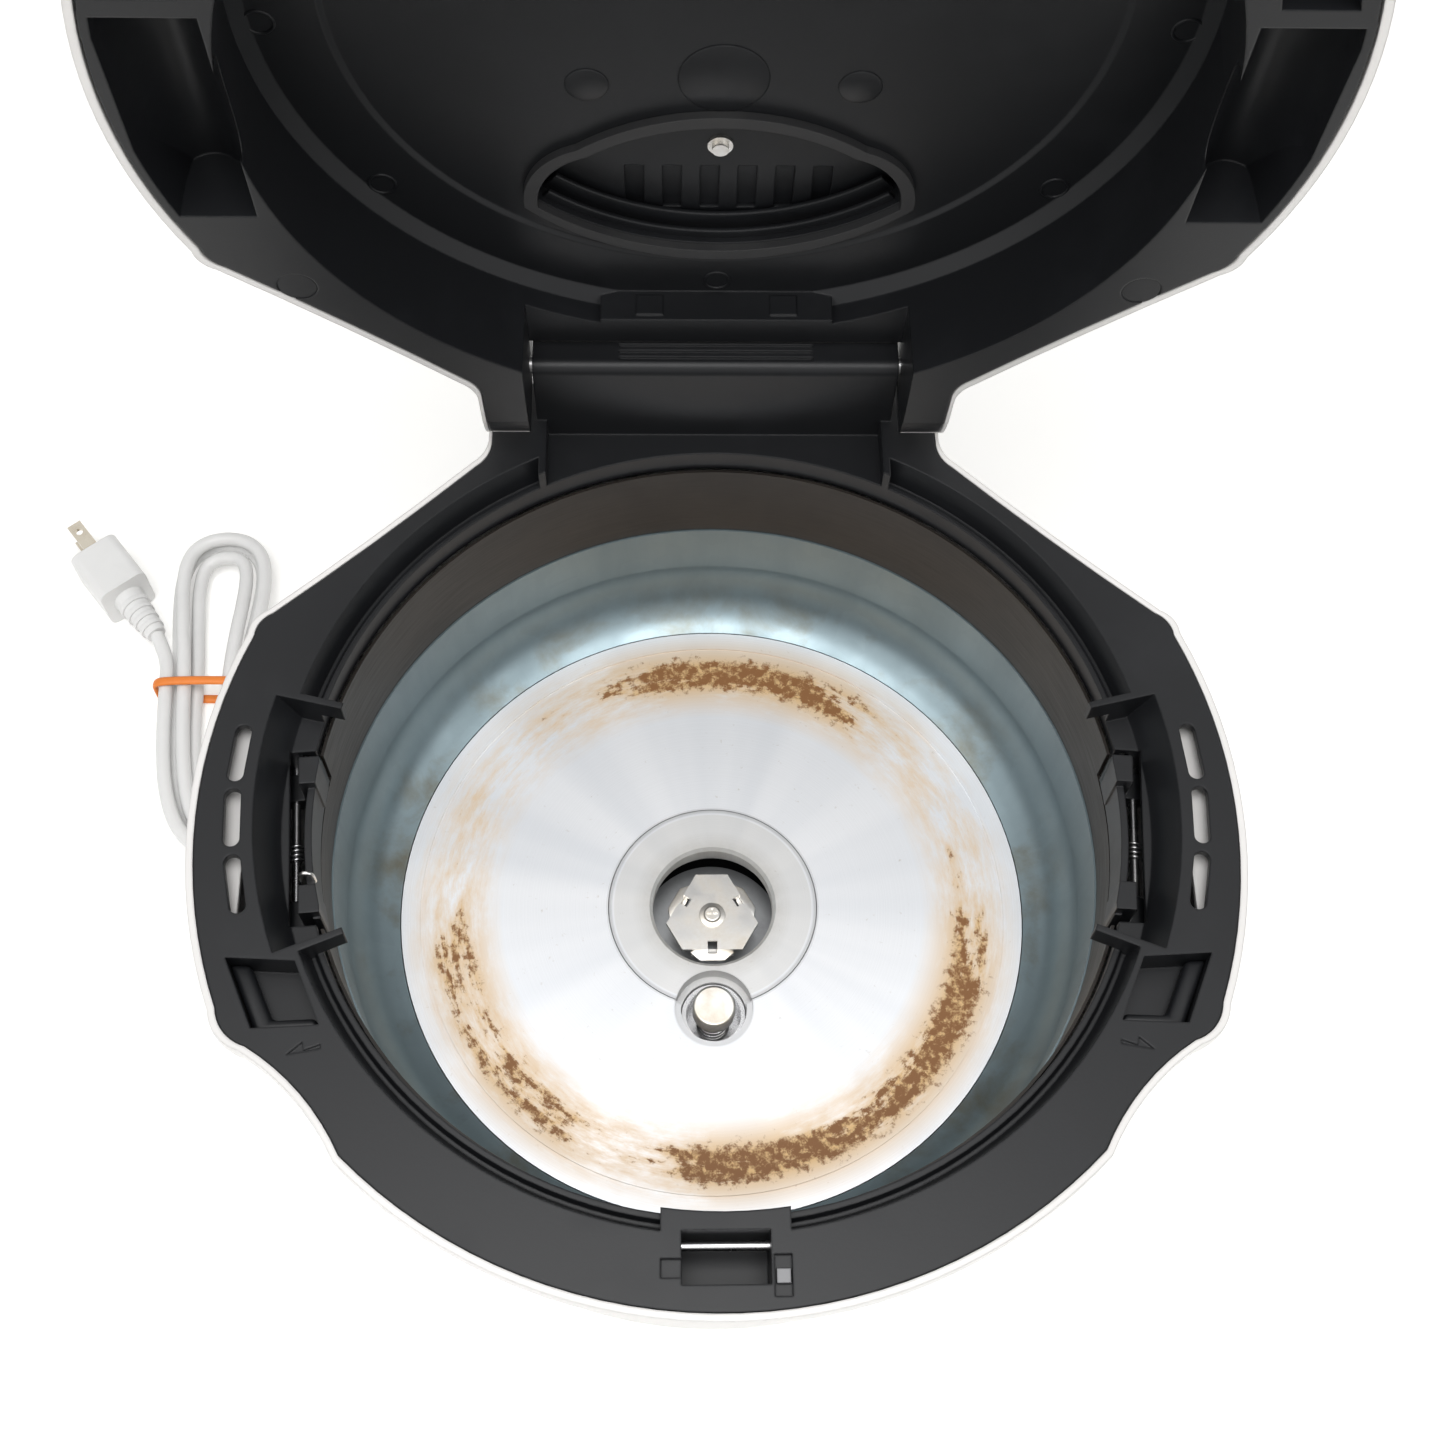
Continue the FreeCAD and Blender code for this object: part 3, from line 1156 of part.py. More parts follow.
def cord_lead():
    aim = V(*GLAND_AIM).normalize()
    start = V(*GLAND_SPOT) + aim * GLAND_LENGTH
    end = hank_place(HANK_START_TURN) - hank_heading(HANK_START_TURN) * 2 * CORD_R
    away = start + aim * 12
    into = end - hank_heading(HANK_START_TURN) * 12
    bends = [(-131.0, 117.0, 20.5), (-144.5, 119.0, 14.5), (-158.5, 116.0, 9.0), (-171.0, 108.5, 5.6),
             (-179.0, 98.0, 4.8)]
    route = [tuple(start), tuple(away)] + bends + [tuple(into), tuple(end)]
    path = rounded_route(route, "lead")
    solid = pipe(path, CORD_R)
    print("lead route", [tuple(round(c, 1) for c in p) for p in route])
    print("lead volume %.0f by section %.0f" % (solid.Volume, math.pi * CORD_R ** 2 * path.Length))
    return solid


def plug_lead():
    start = hank_place(HANK_TURNS) + hank_heading(HANK_TURNS) * 2 * CORD_R
    edges = biarc(start, hank_heading(HANK_TURNS), V(*PLUG_START), V(*PLUG_AIM).normalize())
    print("plug lead", [tuple(round(c, 1) for c in e.CenterOfMass) for e in edges], tuple(start))
    return pipe(Part.Wire(Part.__sortEdges__(edges)), CORD_R)


def along_plug(shape):
    """Turn a piece made along +Y from the plug's start to where the plug lies."""
    aim = V(*PLUG_AIM).normalize()
    placed = shape.copy()
    placed.rotate(V(0, 0, 0), Z_AXIS, math.degrees(math.atan2(aim.y, aim.x)) - 90)
    placed.translate(V(*PLUG_START))
    return placed


def plug_body():
    relief = Part.makeCone(CORD_R + 1.2, CORD_R + 4, RELIEF_LENGTH, V(0, 0, 0), V(0, 1, 0))
    pieces = [relief]
    for i in range(RELIEF_RIBS):
        y = 3 + i * (RELIEF_LENGTH - 6) / RELIEF_RIBS
        pieces.append(rod_y(CORD_R + 2.2 + 0.5 * i, y, y + 2.2, 0, 0))
    body = box(-PLUG_WIDTH / 2, PLUG_WIDTH / 2, RELIEF_LENGTH - 1, RELIEF_LENGTH + PLUG_LENGTH,
               -PLUG_HEIGHT / 2, PLUG_HEIGHT / 2)
    edges = [e for e in body.Edges if abs(e.tangentAt(e.FirstParameter).y) > 0.9]
    pieces.append(body.makeFillet(4.0, edges))
    return along_plug(fuse_all(pieces))


def plug_blades():
    face = RELIEF_LENGTH + PLUG_LENGTH
    blades = []
    for side in (-1, 1):
        z = side * BLADE_SPACING / 2
        blade = box(-BLADE_WIDTH / 2, BLADE_WIDTH / 2, face, face + BLADE_LENGTH, z - BLADE_THICK / 2, z + BLADE_THICK / 2)
        hole = Part.makeCylinder(1.6, 10, V(0, face + BLADE_LENGTH - 5, z - 5), Z_AXIS)
        blades.append(along_plug(blade.cut(hole)))
    return Part.makeCompound(blades)


def main():
    fixed = {
        "outer_housing": outer_housing, "top_frame": top_frame, "base_plate": base_plate,
        "rubber_feet": rubber_feet, "base_screws": base_screws, "inner_chamber": inner_chamber,
        "chamber_collar": chamber_collar, "heating_plate": heating_plate, "hub_ring": hub_ring,
        "heater_element": heater_element, "plate_legs": plate_legs, "gear_motor": gear_motor,
        "motor_screws": motor_screws, "bearing_bush": bearing_bush, "drive_shaft": drive_shaft,
        "drive_coupling": drive_coupling, "coupling_screw": coupling_screw, "sensor_cap": sensor_cap,
        "sensor_sleeve": sensor_sleeve, "sensor_spring": sensor_spring, "latch_strike": latch_strike,
        "lid_switch_pin": lid_switch_pin, "hinge_pin": hinge_pin, "power_board": power_board,
        "cord_gland": cord_gland, "cord_lead": cord_lead, "cord_hank": cord_hank, "cord_tie": cord_tie,
        "plug_lead": plug_lead, "plug_body": plug_body, "plug_blades": plug_blades,
    }
    on_lid = {
        "lid_shell": lid_shell, "lid_liner": lid_liner, "vent_gasket": vent_gasket, "vent_plate": vent_plate,
        "vent_screw": vent_screw, "liner_plugs": liner_plugs, "control_panel": control_panel,
        "display_window": display_window, "control_board": control_board, "open_button": open_button,
        "lid_hook": lid_hook, "hook_pin": hook_pin,
    }
    for name, make in fixed.items():
        save(name, make())
    for name, make in on_lid.items():
        save(name, opened(make()))
    for number, x in enumerate(KEY_X, 1):
        save("panel_key_%d" % number, opened(panel_key(x)))
    for name, make in (("pot_lever", pot_lever), ("lever_pin", lever_pin), ("lever_spring", lever_spring),
                       ("hinge_spring", hinge_spring)):
        right = make()
        save("right_" + name, right)
        save("left_" + name, mirrored(right))


main()
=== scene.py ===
import json
import math

import bpy
from mathutils import Matrix, Vector


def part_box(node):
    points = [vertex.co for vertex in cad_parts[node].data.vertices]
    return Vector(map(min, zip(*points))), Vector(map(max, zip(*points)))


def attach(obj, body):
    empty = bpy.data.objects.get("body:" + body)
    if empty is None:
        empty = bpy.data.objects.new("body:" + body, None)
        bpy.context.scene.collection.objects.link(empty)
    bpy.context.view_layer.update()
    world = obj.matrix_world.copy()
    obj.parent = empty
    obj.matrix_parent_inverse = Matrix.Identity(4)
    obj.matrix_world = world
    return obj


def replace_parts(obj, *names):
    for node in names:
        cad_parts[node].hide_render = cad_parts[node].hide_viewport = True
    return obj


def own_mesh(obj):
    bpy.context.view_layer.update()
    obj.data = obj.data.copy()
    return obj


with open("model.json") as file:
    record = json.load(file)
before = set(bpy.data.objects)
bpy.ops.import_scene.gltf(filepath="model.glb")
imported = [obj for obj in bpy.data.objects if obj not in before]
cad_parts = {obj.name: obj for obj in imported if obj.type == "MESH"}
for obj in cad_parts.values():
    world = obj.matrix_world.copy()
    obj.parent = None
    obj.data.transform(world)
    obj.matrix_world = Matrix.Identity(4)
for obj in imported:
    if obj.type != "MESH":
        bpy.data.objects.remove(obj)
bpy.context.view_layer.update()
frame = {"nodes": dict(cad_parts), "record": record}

bl_info = {
    "name": "Stirring cooker looks",
    "version": (1, 0, 0),
    "blender": (4, 5, 0),
    "location": "3D View > Sidebar > Cooker",
    "description": "Finishes, springs, lead and small mouldings of an open stirring cooker",
    "category": "Object",
}

NODES = frame["nodes"]
MM = 0.001

# Places taken over from the solids, in millimetres in the row frame.
RIM_Z = 182.0
LID_Z = 182.6
HINGE_Y = 148.6
HINGE_Z = 206.0
OPEN_DEG = 87.6
CEILING_Z = LID_Z + 41.2
PLUG_FACE_Z = CEILING_Z - 1.2
LEVER_DEG = -4.5
LEVER_PIN_X = 139.5
LEVER_PIN_Z = 154.0
SENSOR_Y = -39.4
ARM_INNER = 63.6
COUPLING_TOP = 64.6
VENT_ARC_R = 87.86
VENT_ARC_Y = 17.14
KEY_X = (-48.0, -24.0, 0.0, 24.0, 48.0)
KEY_Y = -84.5
KEY_TOP = LID_Z + 66.2
SIDES = (("right", 1.0), ("left", -1.0))

# Route of the mains lead from its gland to the hank, and from the hank to the plug.
LEAD_ROUTE = [(-112.3, 100.1, 24.0), (-120.5, 108.9, 24.0), (-131.0, 117.0, 20.5), (-144.5, 119.0, 14.5),
              (-158.5, 116.0, 9.0), (-171.0, 108.5, 5.6), (-179.0, 98.0, 4.8), (-181.2, 85.7, 4.6)]
PLUG_ROUTE = [(-230.8, 133.5, 11.5), (-232.8, 140.5, 11.8), (-237.0, 149.0, 12.0)]

# The hank: a measure at its middle turn, and the step by which that grows with each turn away from it.
HANK_PLACE = (-212.0, 124.0, 4.6)
HANK_START_TURN = 0.125
HANK_WIDTH, HANK_WIDTH_STEP = 11.0, 17.2
HANK_FOLD, HANK_FOLD_STEP = 20.0, 14.0
HANK_LENGTH, HANK_LENGTH_STEP = 66.0, 8.0
WAIST_SHARE = 0.45
WAIST_CURVE = 1.5
FOLD_CAP = 1.3
LAYER_RISE = 6.8
CLIMB_TURNS = 0.5
LEAN = 0.28
LEAN_FROM = 15.0

# Softboxes: name, place, power in watts and the point that they face.
LAMPS = (
    ("overhead softbox", (-0.05, -0.3, 1.9), 25.0, (0.0, 0.05, 0.1)),
    ("left softbox", (-1.5, -0.9, 1.2), 6.0, (0.0, 0.1, 0.2)),
    ("right softbox", (1.5, -0.7, 1.2), 5.0, (0.0, 0.1, 0.2)),
)
LAMP_SIZE = 1.3
FLOOR_SIZE = 40.0
FLOOR_GLOW = 0.22
WORLD_LIGHT = 0.40


def mm(point):
    """A point in millimetres as a vector in metres."""
    return Vector(point) * MM


# Node helpers.

def add_node(tree, kind, inputs=None, **settings):
    """Adds a node, sets its options, and sets or links each named input."""
    node = tree.nodes.new(kind)
    for key, value in settings.items():
        setattr(node, key, value)
    for key, value in (inputs or {}).items():
        if isinstance(value, bpy.types.NodeSocket):
            tree.links.new(value, node.inputs[key])
        else:
            node.inputs[key].default_value = value
    return node


def maths(tree, operation, first, second=0.0):
    return add_node(tree, "ShaderNodeMath", {0: first, 1: second}, operation=operation).outputs[0]


def vector_maths(tree, operation, first, second=(0.0, 0.0, 0.0)):
    inputs = {0: first, 1: second}
    return add_node(tree, "ShaderNodeVectorMath", inputs, operation=operation).outputs[0]


def level(tree, vector):
    """The level part of a vector, and the way that it points."""
    flat = vector_maths(tree, "MULTIPLY", vector, (1.0, 1.0, 0.0))
    return flat, vector_maths(tree, "NORMALIZE", flat)


def noise(tree, vector, scale, detail, **more):
    """Cloudy value from 0 to 1 at a vector."""
    inputs = {"Vector": vector, "Scale": scale, "Detail": detail}
    inputs.update({key.capitalize(): value for key, value in more.items()})
    return add_node(tree, "ShaderNodeTexNoise", inputs).outputs[0]


def ranged(tree, value, low, high, to_low=0.0, to_high=1.0):
    """A value stretched from one range to another and held inside it."""
    inputs = {"Value": value, "From Min": low, "From Max": high, "To Min": to_low, "To Max": to_high}
    return add_node(tree, "ShaderNodeMapRange", inputs).outputs["Result"]


def blended(tree, factor, first, second):
    """Colour that goes from the first to the second with the factor."""
    inputs = {"Factor": factor, 6: first, 7: second}
    return add_node(tree, "ShaderNodeMix", inputs, data_type="RGBA").outputs[2]


def object_coords(tree):
    return add_node(tree, "ShaderNodeTexCoord").outputs["Object"]


def new_group(name, inputs, outputs):
    """Empty shader group with named inputs and their defaults, and named outputs."""
    tree = bpy.data.node_groups.new(name, "ShaderNodeTree")
    for label, default in inputs.items():
        kind = "NodeSocketVector" if isinstance(default, tuple) else "NodeSocketFloat"
        tree.interface.new_socket(label, in_out="INPUT", socket_type=kind).default_value = default
    for label in outputs:
        tree.interface.new_socket(label, in_out="OUTPUT", socket_type="NodeSocketFloat")
    return tree, tree.nodes.new("NodeGroupInput").outputs, tree.nodes.new("NodeGroupOutput").inputs


def placed(tree, name, **values):
    """A shader group placed in a material with its own values."""
    makers = {"moulded grain": grain_group, "handling smears": smear_group, "lathe lines": lathe_group,
              "scorch": scorch_group, "drawn lines": drawn_group}
    group = bpy.data.node_groups.get(name) or makers[name]()
    inputs = {key.replace("_", " "): value for key, value in values.items()}
    return add_node(tree, "ShaderNodeGroup", inputs, node_tree=group).outputs


# Shared effects.

def grain_group():
    """Spark-eroded grain of a moulding and slow patches of colour."""
    tree, given, out = new_group("moulded grain", {"Scale": 1200.0}, ["Height", "Patch"])
    coords = object_coords(tree)
    wider = maths(tree, "MULTIPLY", given["Scale"], 0.55)
    cells = add_node(tree, "ShaderNodeTexVoronoi", {"Vector": coords, "Scale": wider}).outputs["Distance"]
    both = maths(tree, "ADD", noise(tree, coords, given["Scale"], 2.0), cells)
    tree.links.new(maths(tree, "MULTIPLY", both, 0.5), out["Height"])
    tree.links.new(noise(tree, coords, 16.0, 4.0), out["Patch"])
    return tree


def smear_group():
    """Smears and dust left by handling and wiping."""
    inputs = {"Scale": 20.0, "From": 0.5, "To": 0.75}
    tree, given, out = new_group("handling smears", inputs, ["Mask"])
    smears = noise(tree, object_coords(tree), given["Scale"], 7.0, roughness=0.62, distortion=0.25)
    tree.links.new(ranged(tree, smears, given["From"], given["To"]), out["Mask"])
    return tree


def lathe_group():
    """Turned lines round a centre, the radius in metres and a slow change round the centre, which the
    heating plate uses for painted reflection sectors.
    """
    inputs = {"Centre": (0.0, 0.0, 0.0), "Lines per metre": 1500.0}
    tree, given, out = new_group("lathe lines", inputs, ["Lines", "Radius", "Fan"])
    flat, heading = level(tree, vector_maths(tree, "SUBTRACT", object_coords(tree), given["Centre"]))
    radius = add_node(tree, "ShaderNodeVectorMath", {0: flat}, operation="LENGTH").outputs["Value"]
    along = maths(tree, "MULTIPLY", radius, given["Lines per metre"])
    inputs = {"W": along, "Scale": 1.0, "Detail": 3.0}
    lines = add_node(tree, "ShaderNodeTexNoise", inputs, noise_dimensions="1D").outputs[0]
    tree.links.new(lines, out["Lines"])
    tree.links.new(radius, out["Radius"])
    tree.links.new(noise(tree, heading, 2.6, 2.0), out["Fan"])
    return tree


def scorch_group():
    """Burnt-on food in a ring, broken into streaked blotches and grains."""
    inputs = {"Radius": 0.1, "Ring": 0.099, "Width": 0.014, "Amount": 0.5}
    tree, given, out = new_group("scorch", inputs, ["Haze", "Crust", "Blotch"])
    coords = object_coords(tree)
    off = maths(tree, "ABSOLUTE", maths(tree, "SUBTRACT", given["Radius"], given["Ring"]))
    band = maths(tree, "SUBTRACT", 1.0, maths(tree, "DIVIDE", off, given["Width"]))
    band = ranged(tree, band, 0.0, 0.8)
    heading = level(tree, coords)[1]
    wound = vector_maths(tree, "MULTIPLY", heading, (5.0, 5.0, 0.0))
    across = {"Z": maths(tree, "MULTIPLY", given["Radius"], 190.0)}
    across = add_node(tree, "ShaderNodeCombineXYZ", across).outputs[0]
    streak = vector_maths(tree, "ADD", wound, across)
    side = noise(tree, coords, 11.0, 1.5)
    blotch = noise(tree, streak, 1.0, 10.0, roughness=0.7)
    grains = noise(tree, coords, 330.0, 5.0, roughness=0.7)
    share = maths(tree, "MULTIPLY", side, given["Amount"])
    haze = maths(tree, "ADD", maths(tree, "MULTIPLY", blotch, 0.55), share)
    haze = maths(tree, "MULTIPLY", ranged(tree, haze, 0.45, 0.66), band)
    crust = maths(tree, "MULTIPLY", grains, 0.5)
    crust = maths(tree, "ADD", crust, maths(tree, "MULTIPLY", haze, 0.32))
    crust = maths(tree, "MULTIPLY", ranged(tree, crust, 0.50, 0.57), ranged(tree, haze, 0.25, 0.7))
    tree.links.new(haze, out["Haze"])
    tree.links.new(crust, out["Crust"])
    tree.links.new(blotch, out["Blotch"])
    return tree


def drawn_group():
    """Fine lines along one way, as on drawn or brushed metal."""
    tree, given, out = new_group("drawn lines", {"Stretch": (900.0, 40.0, 900.0)}, ["Lines"])
    drawn = vector_maths(tree, "MULTIPLY", object_coords(tree), given["Stretch"])
    tree.links.new(noise(tree, drawn, 1.0, 3.0), out["Lines"])
    return tree


# Finishes.

def new_finish(name):
    material = bpy.data.materials.new(name)
    material.use_nodes = True
    return material, material.node_tree, material.node_tree.nodes["Principled BSDF"]


def give_bump(tree, shader, height, strength, distance, edge=0.0):
    """Bump from a height, on edges that look rounded by the given radius."""
    bump = add_node(tree, "ShaderNodeBump", {"Height": height, "Strength": strength, "Distance": distance})
    if edge:
        rounded = add_node(tree, "ShaderNodeBevel", {"Radius": edge}, samples=4)
        tree.links.new(rounded.outputs[0], bump.inputs["Normal"])
    tree.links.new(bump.outputs[0], shader.inputs["Normal"])


def shade(colour, share):
    return tuple(channel * share for channel in colour[:3]) + (1.0,)


def moulding(name, colour, worn, rough, grain=1200.0, depth=0.00004, strength=0.3, coat=0.0,
             edge=0.0005, gloss=0.5):
    """Moulded plastic or rubber: grain, slow patches and handling smears."""
    material, tree, shader = new_finish(name)
    texture = placed(tree, "moulded grain", Scale=grain)
    mask = placed(tree, "handling smears", Scale=22.0, From=0.52, To=0.8)["Mask"]
    patch = ranged(tree, texture["Patch"], 0.3, 0.7)
    patched = blended(tree, patch, shade(colour, 0.96), shade(colour, 1.03))
    tree.links.new(blended(tree, mask, patched, worn), shader.inputs["Base Color"])
    tree.links.new(ranged(tree, mask, 0.0, 1.0, *rough), shader.inputs["Roughness"])
    shader.inputs["Coat Weight"].default_value = coat
    shader.inputs["Coat Roughness"].default_value = 0.12
    shader.inputs["Specular IOR Level"].default_value = gloss
    give_bump(tree, shader, texture["Height"], strength, depth, edge)
    return material


def metal(name, colour, dull, rough, stretch, strength=0.12):
    """Bare or plated metal with drawn lines and dulled patches."""
    material, tree, shader = new_finish(name)
    lines = placed(tree, "drawn lines", Stretch=stretch)["Lines"]
    mask = placed(tree, "handling smears", Scale=55.0, From=0.45, To=0.75)["Mask"]
    tree.links.new(blended(tree, mask, colour, dull), shader.inputs["Base Color"])
    tree.links.new(ranged(tree, mask, 0.0, 1.0, *rough), shader.inputs["Roughness"])
    shader.inputs["Metallic"].default_value = 1.0
    give_bump(tree, shader, lines, strength, 0.00005)
    return material


def white_shell(look):
    """White shell, with painted shade in black on the cut ends of the lid beside the hinge tower."""
    shaded_ends_within, shaded_ends_top, shaded_ends_foot, shaded_ends_front = 0.0003, 0.214, 0.1825, 0.12
    material = moulding("white shell", look.white, shade(look.white, 0.985), (0.29, 0.34), grain=900.0,
                        depth=0.00002, strength=0.06, coat=0.15, edge=0.0012)
    tree = material.node_tree
    colour = tree.nodes["Principled BSDF"].inputs["Base Color"]
    place = add_node(tree, "ShaderNodeSeparateXYZ", {0: object_coords(tree)}).outputs
    off = maths(tree, "SUBTRACT", maths(tree, "ABSOLUTE", place[0]), ARM_INNER * MM)
    ends = maths(tree, "LESS_THAN", maths(tree, "ABSOLUTE", off), shaded_ends_within)
    low = maths(tree, "LESS_THAN", place[2], shaded_ends_top)
    over = maths(tree, "GREATER_THAN", place[2], shaded_ends_foot)
    back = maths(tree, "GREATER_THAN", place[1], shaded_ends_front)
    # Painted shade: the lid's white cut ends beside the hinge tower are painted black, as a shadow gap.
    mask = maths(tree, "MULTIPLY", maths(tree, "MULTIPLY", ends, low), maths(tree, "MULTIPLY", over, back))
    tree.links.new(blended(tree, mask, colour.links[0].from_socket, look.black), colour)
    return material


def black_frame(look):
    return moulding("grained black moulding", look.black, shade(look.black, 1.5), (0.4, 0.5), grain=1900.0,
                    depth=0.00006, strength=0.25, edge=0.0009, gloss=0.3)


def lever_black(look):
    return moulding("satin black lever", look.black, shade(look.black, 1.6), (0.34, 0.46), grain=2600.0,
                    depth=0.00003, strength=0.2, edge=0.0007, gloss=0.35)


def rubber_black(look):
    return moulding("black rubber", (0.018, 0.018, 0.019, 1), (0.03, 0.03, 0.03, 1), (0.55, 0.7),
                    grain=1500.0, depth=0.00005)


def galvanised_sheet(look):
    """Galvanised chamber wall: slow zinc flowers, water marks, a dark stained foot, and painted shade that
    darkens the wall towards its top.
    """
    foot_zone, shaded_top_zone = (0.074, 0.092), (0.095, 0.15)
    foot_stain = (0.16, 0.14, 0.09, 1.0)
    material, tree, shader = new_finish("galvanised sheet")
    coords = object_coords(tree)
    flowers = add_node(tree, "ShaderNodeTexVoronoi", {"Vector": coords, "Scale": 110.0})
    tone = add_node(tree, "ShaderNodeSeparateColor", {"Color": flowers.outputs["Color"]}).outputs[0]
    runs = vector_maths(tree, "MULTIPLY", coords, (46.0, 46.0, 7.0))
    marks = noise(tree, runs, 1.0, 6.0, roughness=0.6)
    height = add_node(tree, "ShaderNodeSeparateXYZ", {0: coords}).outputs[2]
    foot = ranged(tree, height, *foot_zone, 1.0, 0.0)
    mask = placed(tree, "handling smears", Scale=34.0, From=0.5, To=0.72)["Mask"]
    tone = ranged(tree, tone, 0.0, 1.0, 0.0, 0.22)
    sheet = blended(tree, tone, look.chamber, shade(look.chamber, 1.25))
    wet = ranged(tree, marks, 0.35, 0.75, 0.0, 0.28)
    sheet = blended(tree, wet, sheet, shade(look.chamber, 0.62))
    # Painted shade: the wall is painted darker towards its top, near the collar.
    top_shade = ranged(tree, height, *shaded_top_zone, 0.0, 0.45)
    sheet = blended(tree, top_shade, sheet, shade(look.chamber, 0.45))
    sheet = blended(tree, maths(tree, "MULTIPLY", foot, mask), sheet, foot_stain)
    tree.links.new(sheet, shader.inputs["Base Color"])
    tree.links.new(ranged(tree, marks, 0.3, 0.8, 0.34, 0.5), shader.inputs["Roughness"])
    shader.inputs["Metallic"].default_value = 0.82
    give_bump(tree, shader, marks, 0.08, 0.0001)
    return material


def dark_collar(look):
    """Dark coated band over the chamber, with a brown cast and fine rub lines."""
    material, tree, shader = new_finish("dark coated collar")
    lines = placed(tree, "drawn lines", Stretch=(60.0, 60.0, 1400.0))["Lines"]
    mask = placed(tree, "handling smears", Scale=18.0, From=0.42, To=0.7)["Mask"]
    tree.links.new(blended(tree, mask, look.collar, shade(look.collar, 1.9)), shader.inputs["Base Color"])
    tree.links.new(ranged(tree, lines, 0.3, 0.7, 0.34, 0.46), shader.inputs["Roughness"])
    shader.inputs["Metallic"].default_value = 0.3
    shader.inputs["Specular IOR Level"].default_value = 0.35
    give_bump(tree, shader, lines, 0.1, 0.00005)
    return material


def heating_plate(look):
    """Turned aluminium with burnt-on food in a ring, the hub's and the sensor well's edges, and painted
    reflection in darker bluish sectors round the centre.
    """
    painted_reflection_tint, hub_tint, grime_tint = (0.36, 0.42, 0.50, 1.0), (0.60, 0.58, 0.54, 1.0), (0.30, 0.26, 0.19, 1.0)
    joint_tint, well_tint = (0.34, 0.34, 0.34, 1.0), (0.40, 0.395, 0.39, 1.0)
    speck_tint = (0.42, 0.36, 0.28, 1.0)
    hub_edge, grime_zone, well_edge = (0.0365, 0.0370), (0.021, 0.030), (0.0140, 0.0148)
    joint_radius, joint_width = 0.0383, (0.0004, 0.0014)
    material, tree, shader = new_finish("scorched heating plate")
    turned = placed(tree, "lathe lines", Lines_per_metre=2600.0)
    radius = turned["Radius"]
    burn = placed(tree, "scorch", Radius=radius, Ring=0.0965, Width=0.0185, Amount=0.70)
    specks = placed(tree, "handling smears", Scale=420.0, From=0.66, To=0.74)["Mask"]
    bare = blended(tree, ranged(tree, turned["Lines"], 0.3, 0.7), shade(look.plate, 0.95), look.plate)
    # Painted reflection: darker bluish sectors round the centre stand in for the fan of highlights on
    # turned metal.
    bare = blended(tree, ranged(tree, turned["Fan"], 0.35, 0.65, 0.18, 0.0), bare, painted_reflection_tint)
    bare = blended(tree, ranged(tree, radius, *hub_edge, 0.45, 0.0), bare, hub_tint)
    grime = maths(tree, "MULTIPLY", ranged(tree, radius, *grime_zone, 0.7, 0.0), burn["Blotch"])
    bare = blended(tree, grime, bare, grime_tint)
    joint = maths(tree, "ABSOLUTE", maths(tree, "SUBTRACT", radius, joint_radius))
    bare = blended(tree, ranged(tree, joint, *joint_width, 0.55, 0.0), bare, joint_tint)
    well = placed(tree, "lathe lines", Centre=mm((0.0, SENSOR_Y, 0.0)))["Radius"]
    bare = blended(tree, ranged(tree, well, *well_edge, 0.5, 0.0), bare, well_tint)
    bare = blended(tree, maths(tree, "MULTIPLY", specks, 0.35), bare, speck_tint)
    stained = blended(tree, maths(tree, "MULTIPLY", burn["Haze"], 0.85), bare, look.scorch)
    tree.links.new(blended(tree, burn["Crust"], stained, look.crust), shader.inputs["Base Color"])
    dulled = maths(tree, "SUBTRACT", 0.3, maths(tree, "MULTIPLY", burn["Crust"], 0.28))
    tree.links.new(dulled, shader.inputs["Metallic"])
    tree.links.new(ranged(tree, burn["Haze"], 0.0, 1.0, 0.36, 0.6), shader.inputs["Roughness"])
    height = maths(tree, "ADD", turned["Lines"], maths(tree, "MULTIPLY", burn["Crust"], 3.0))
    give_bump(tree, shader, height, 0.1, 0.00008)
    return material


def nickel(look):
    return metal("stained nickel", (0.79, 0.78, 0.76, 1), (0.48, 0.42, 0.33, 1), (0.28, 0.45),
                 stretch=(300.0, 300.0, 300.0))


def drawn_steel(look):
    return metal("drawn steel", (0.56, 0.56, 0.57, 1), (0.38, 0.37, 0.36, 1), (0.26, 0.4),
                 stretch=(1500.0, 60.0, 60.0))


def sintered_bronze(look):
    return metal("sintered bronze", (0.50, 0.36, 0.18, 1), (0.28, 0.19, 0.10, 1), (0.4, 0.55),
                 stretch=(1200.0, 1200.0, 1200.0), strength=0.3)


def zinc_case(look):
    return metal("zinc motor case", (0.42, 0.43, 0.44, 1), (0.25, 0.25, 0.26, 1), (0.36, 0.5),
                 stretch=(700.0, 700.0, 90.0))


def plated_blade(look):
    return metal("plated blade", (0.62, 0.57, 0.48, 1), (0.45, 0.38, 0.28, 1), (0.24, 0.36),
                 stretch=(60.0, 1200.0, 1200.0))


def board_lacquer(look):
    return moulding("board lacquer", (0.03, 0.16, 0.07, 1), (0.05, 0.22, 0.1, 1), (0.3, 0.4), grain=700.0)


def grey_pin(look):
    return moulding("grey pin plastic", (0.22, 0.22, 0.23, 1), (0.3, 0.3, 0.3, 1), (0.4, 0.5), grain=2000.0)


def panel_black(look):
    return moulding("gloss black panel", (0.02, 0.02, 0.022, 1), (0.03, 0.03, 0.032, 1), (0.12, 0.25),
                    grain=800.0, depth=0.00001, strength=0.05, coat=0.5)


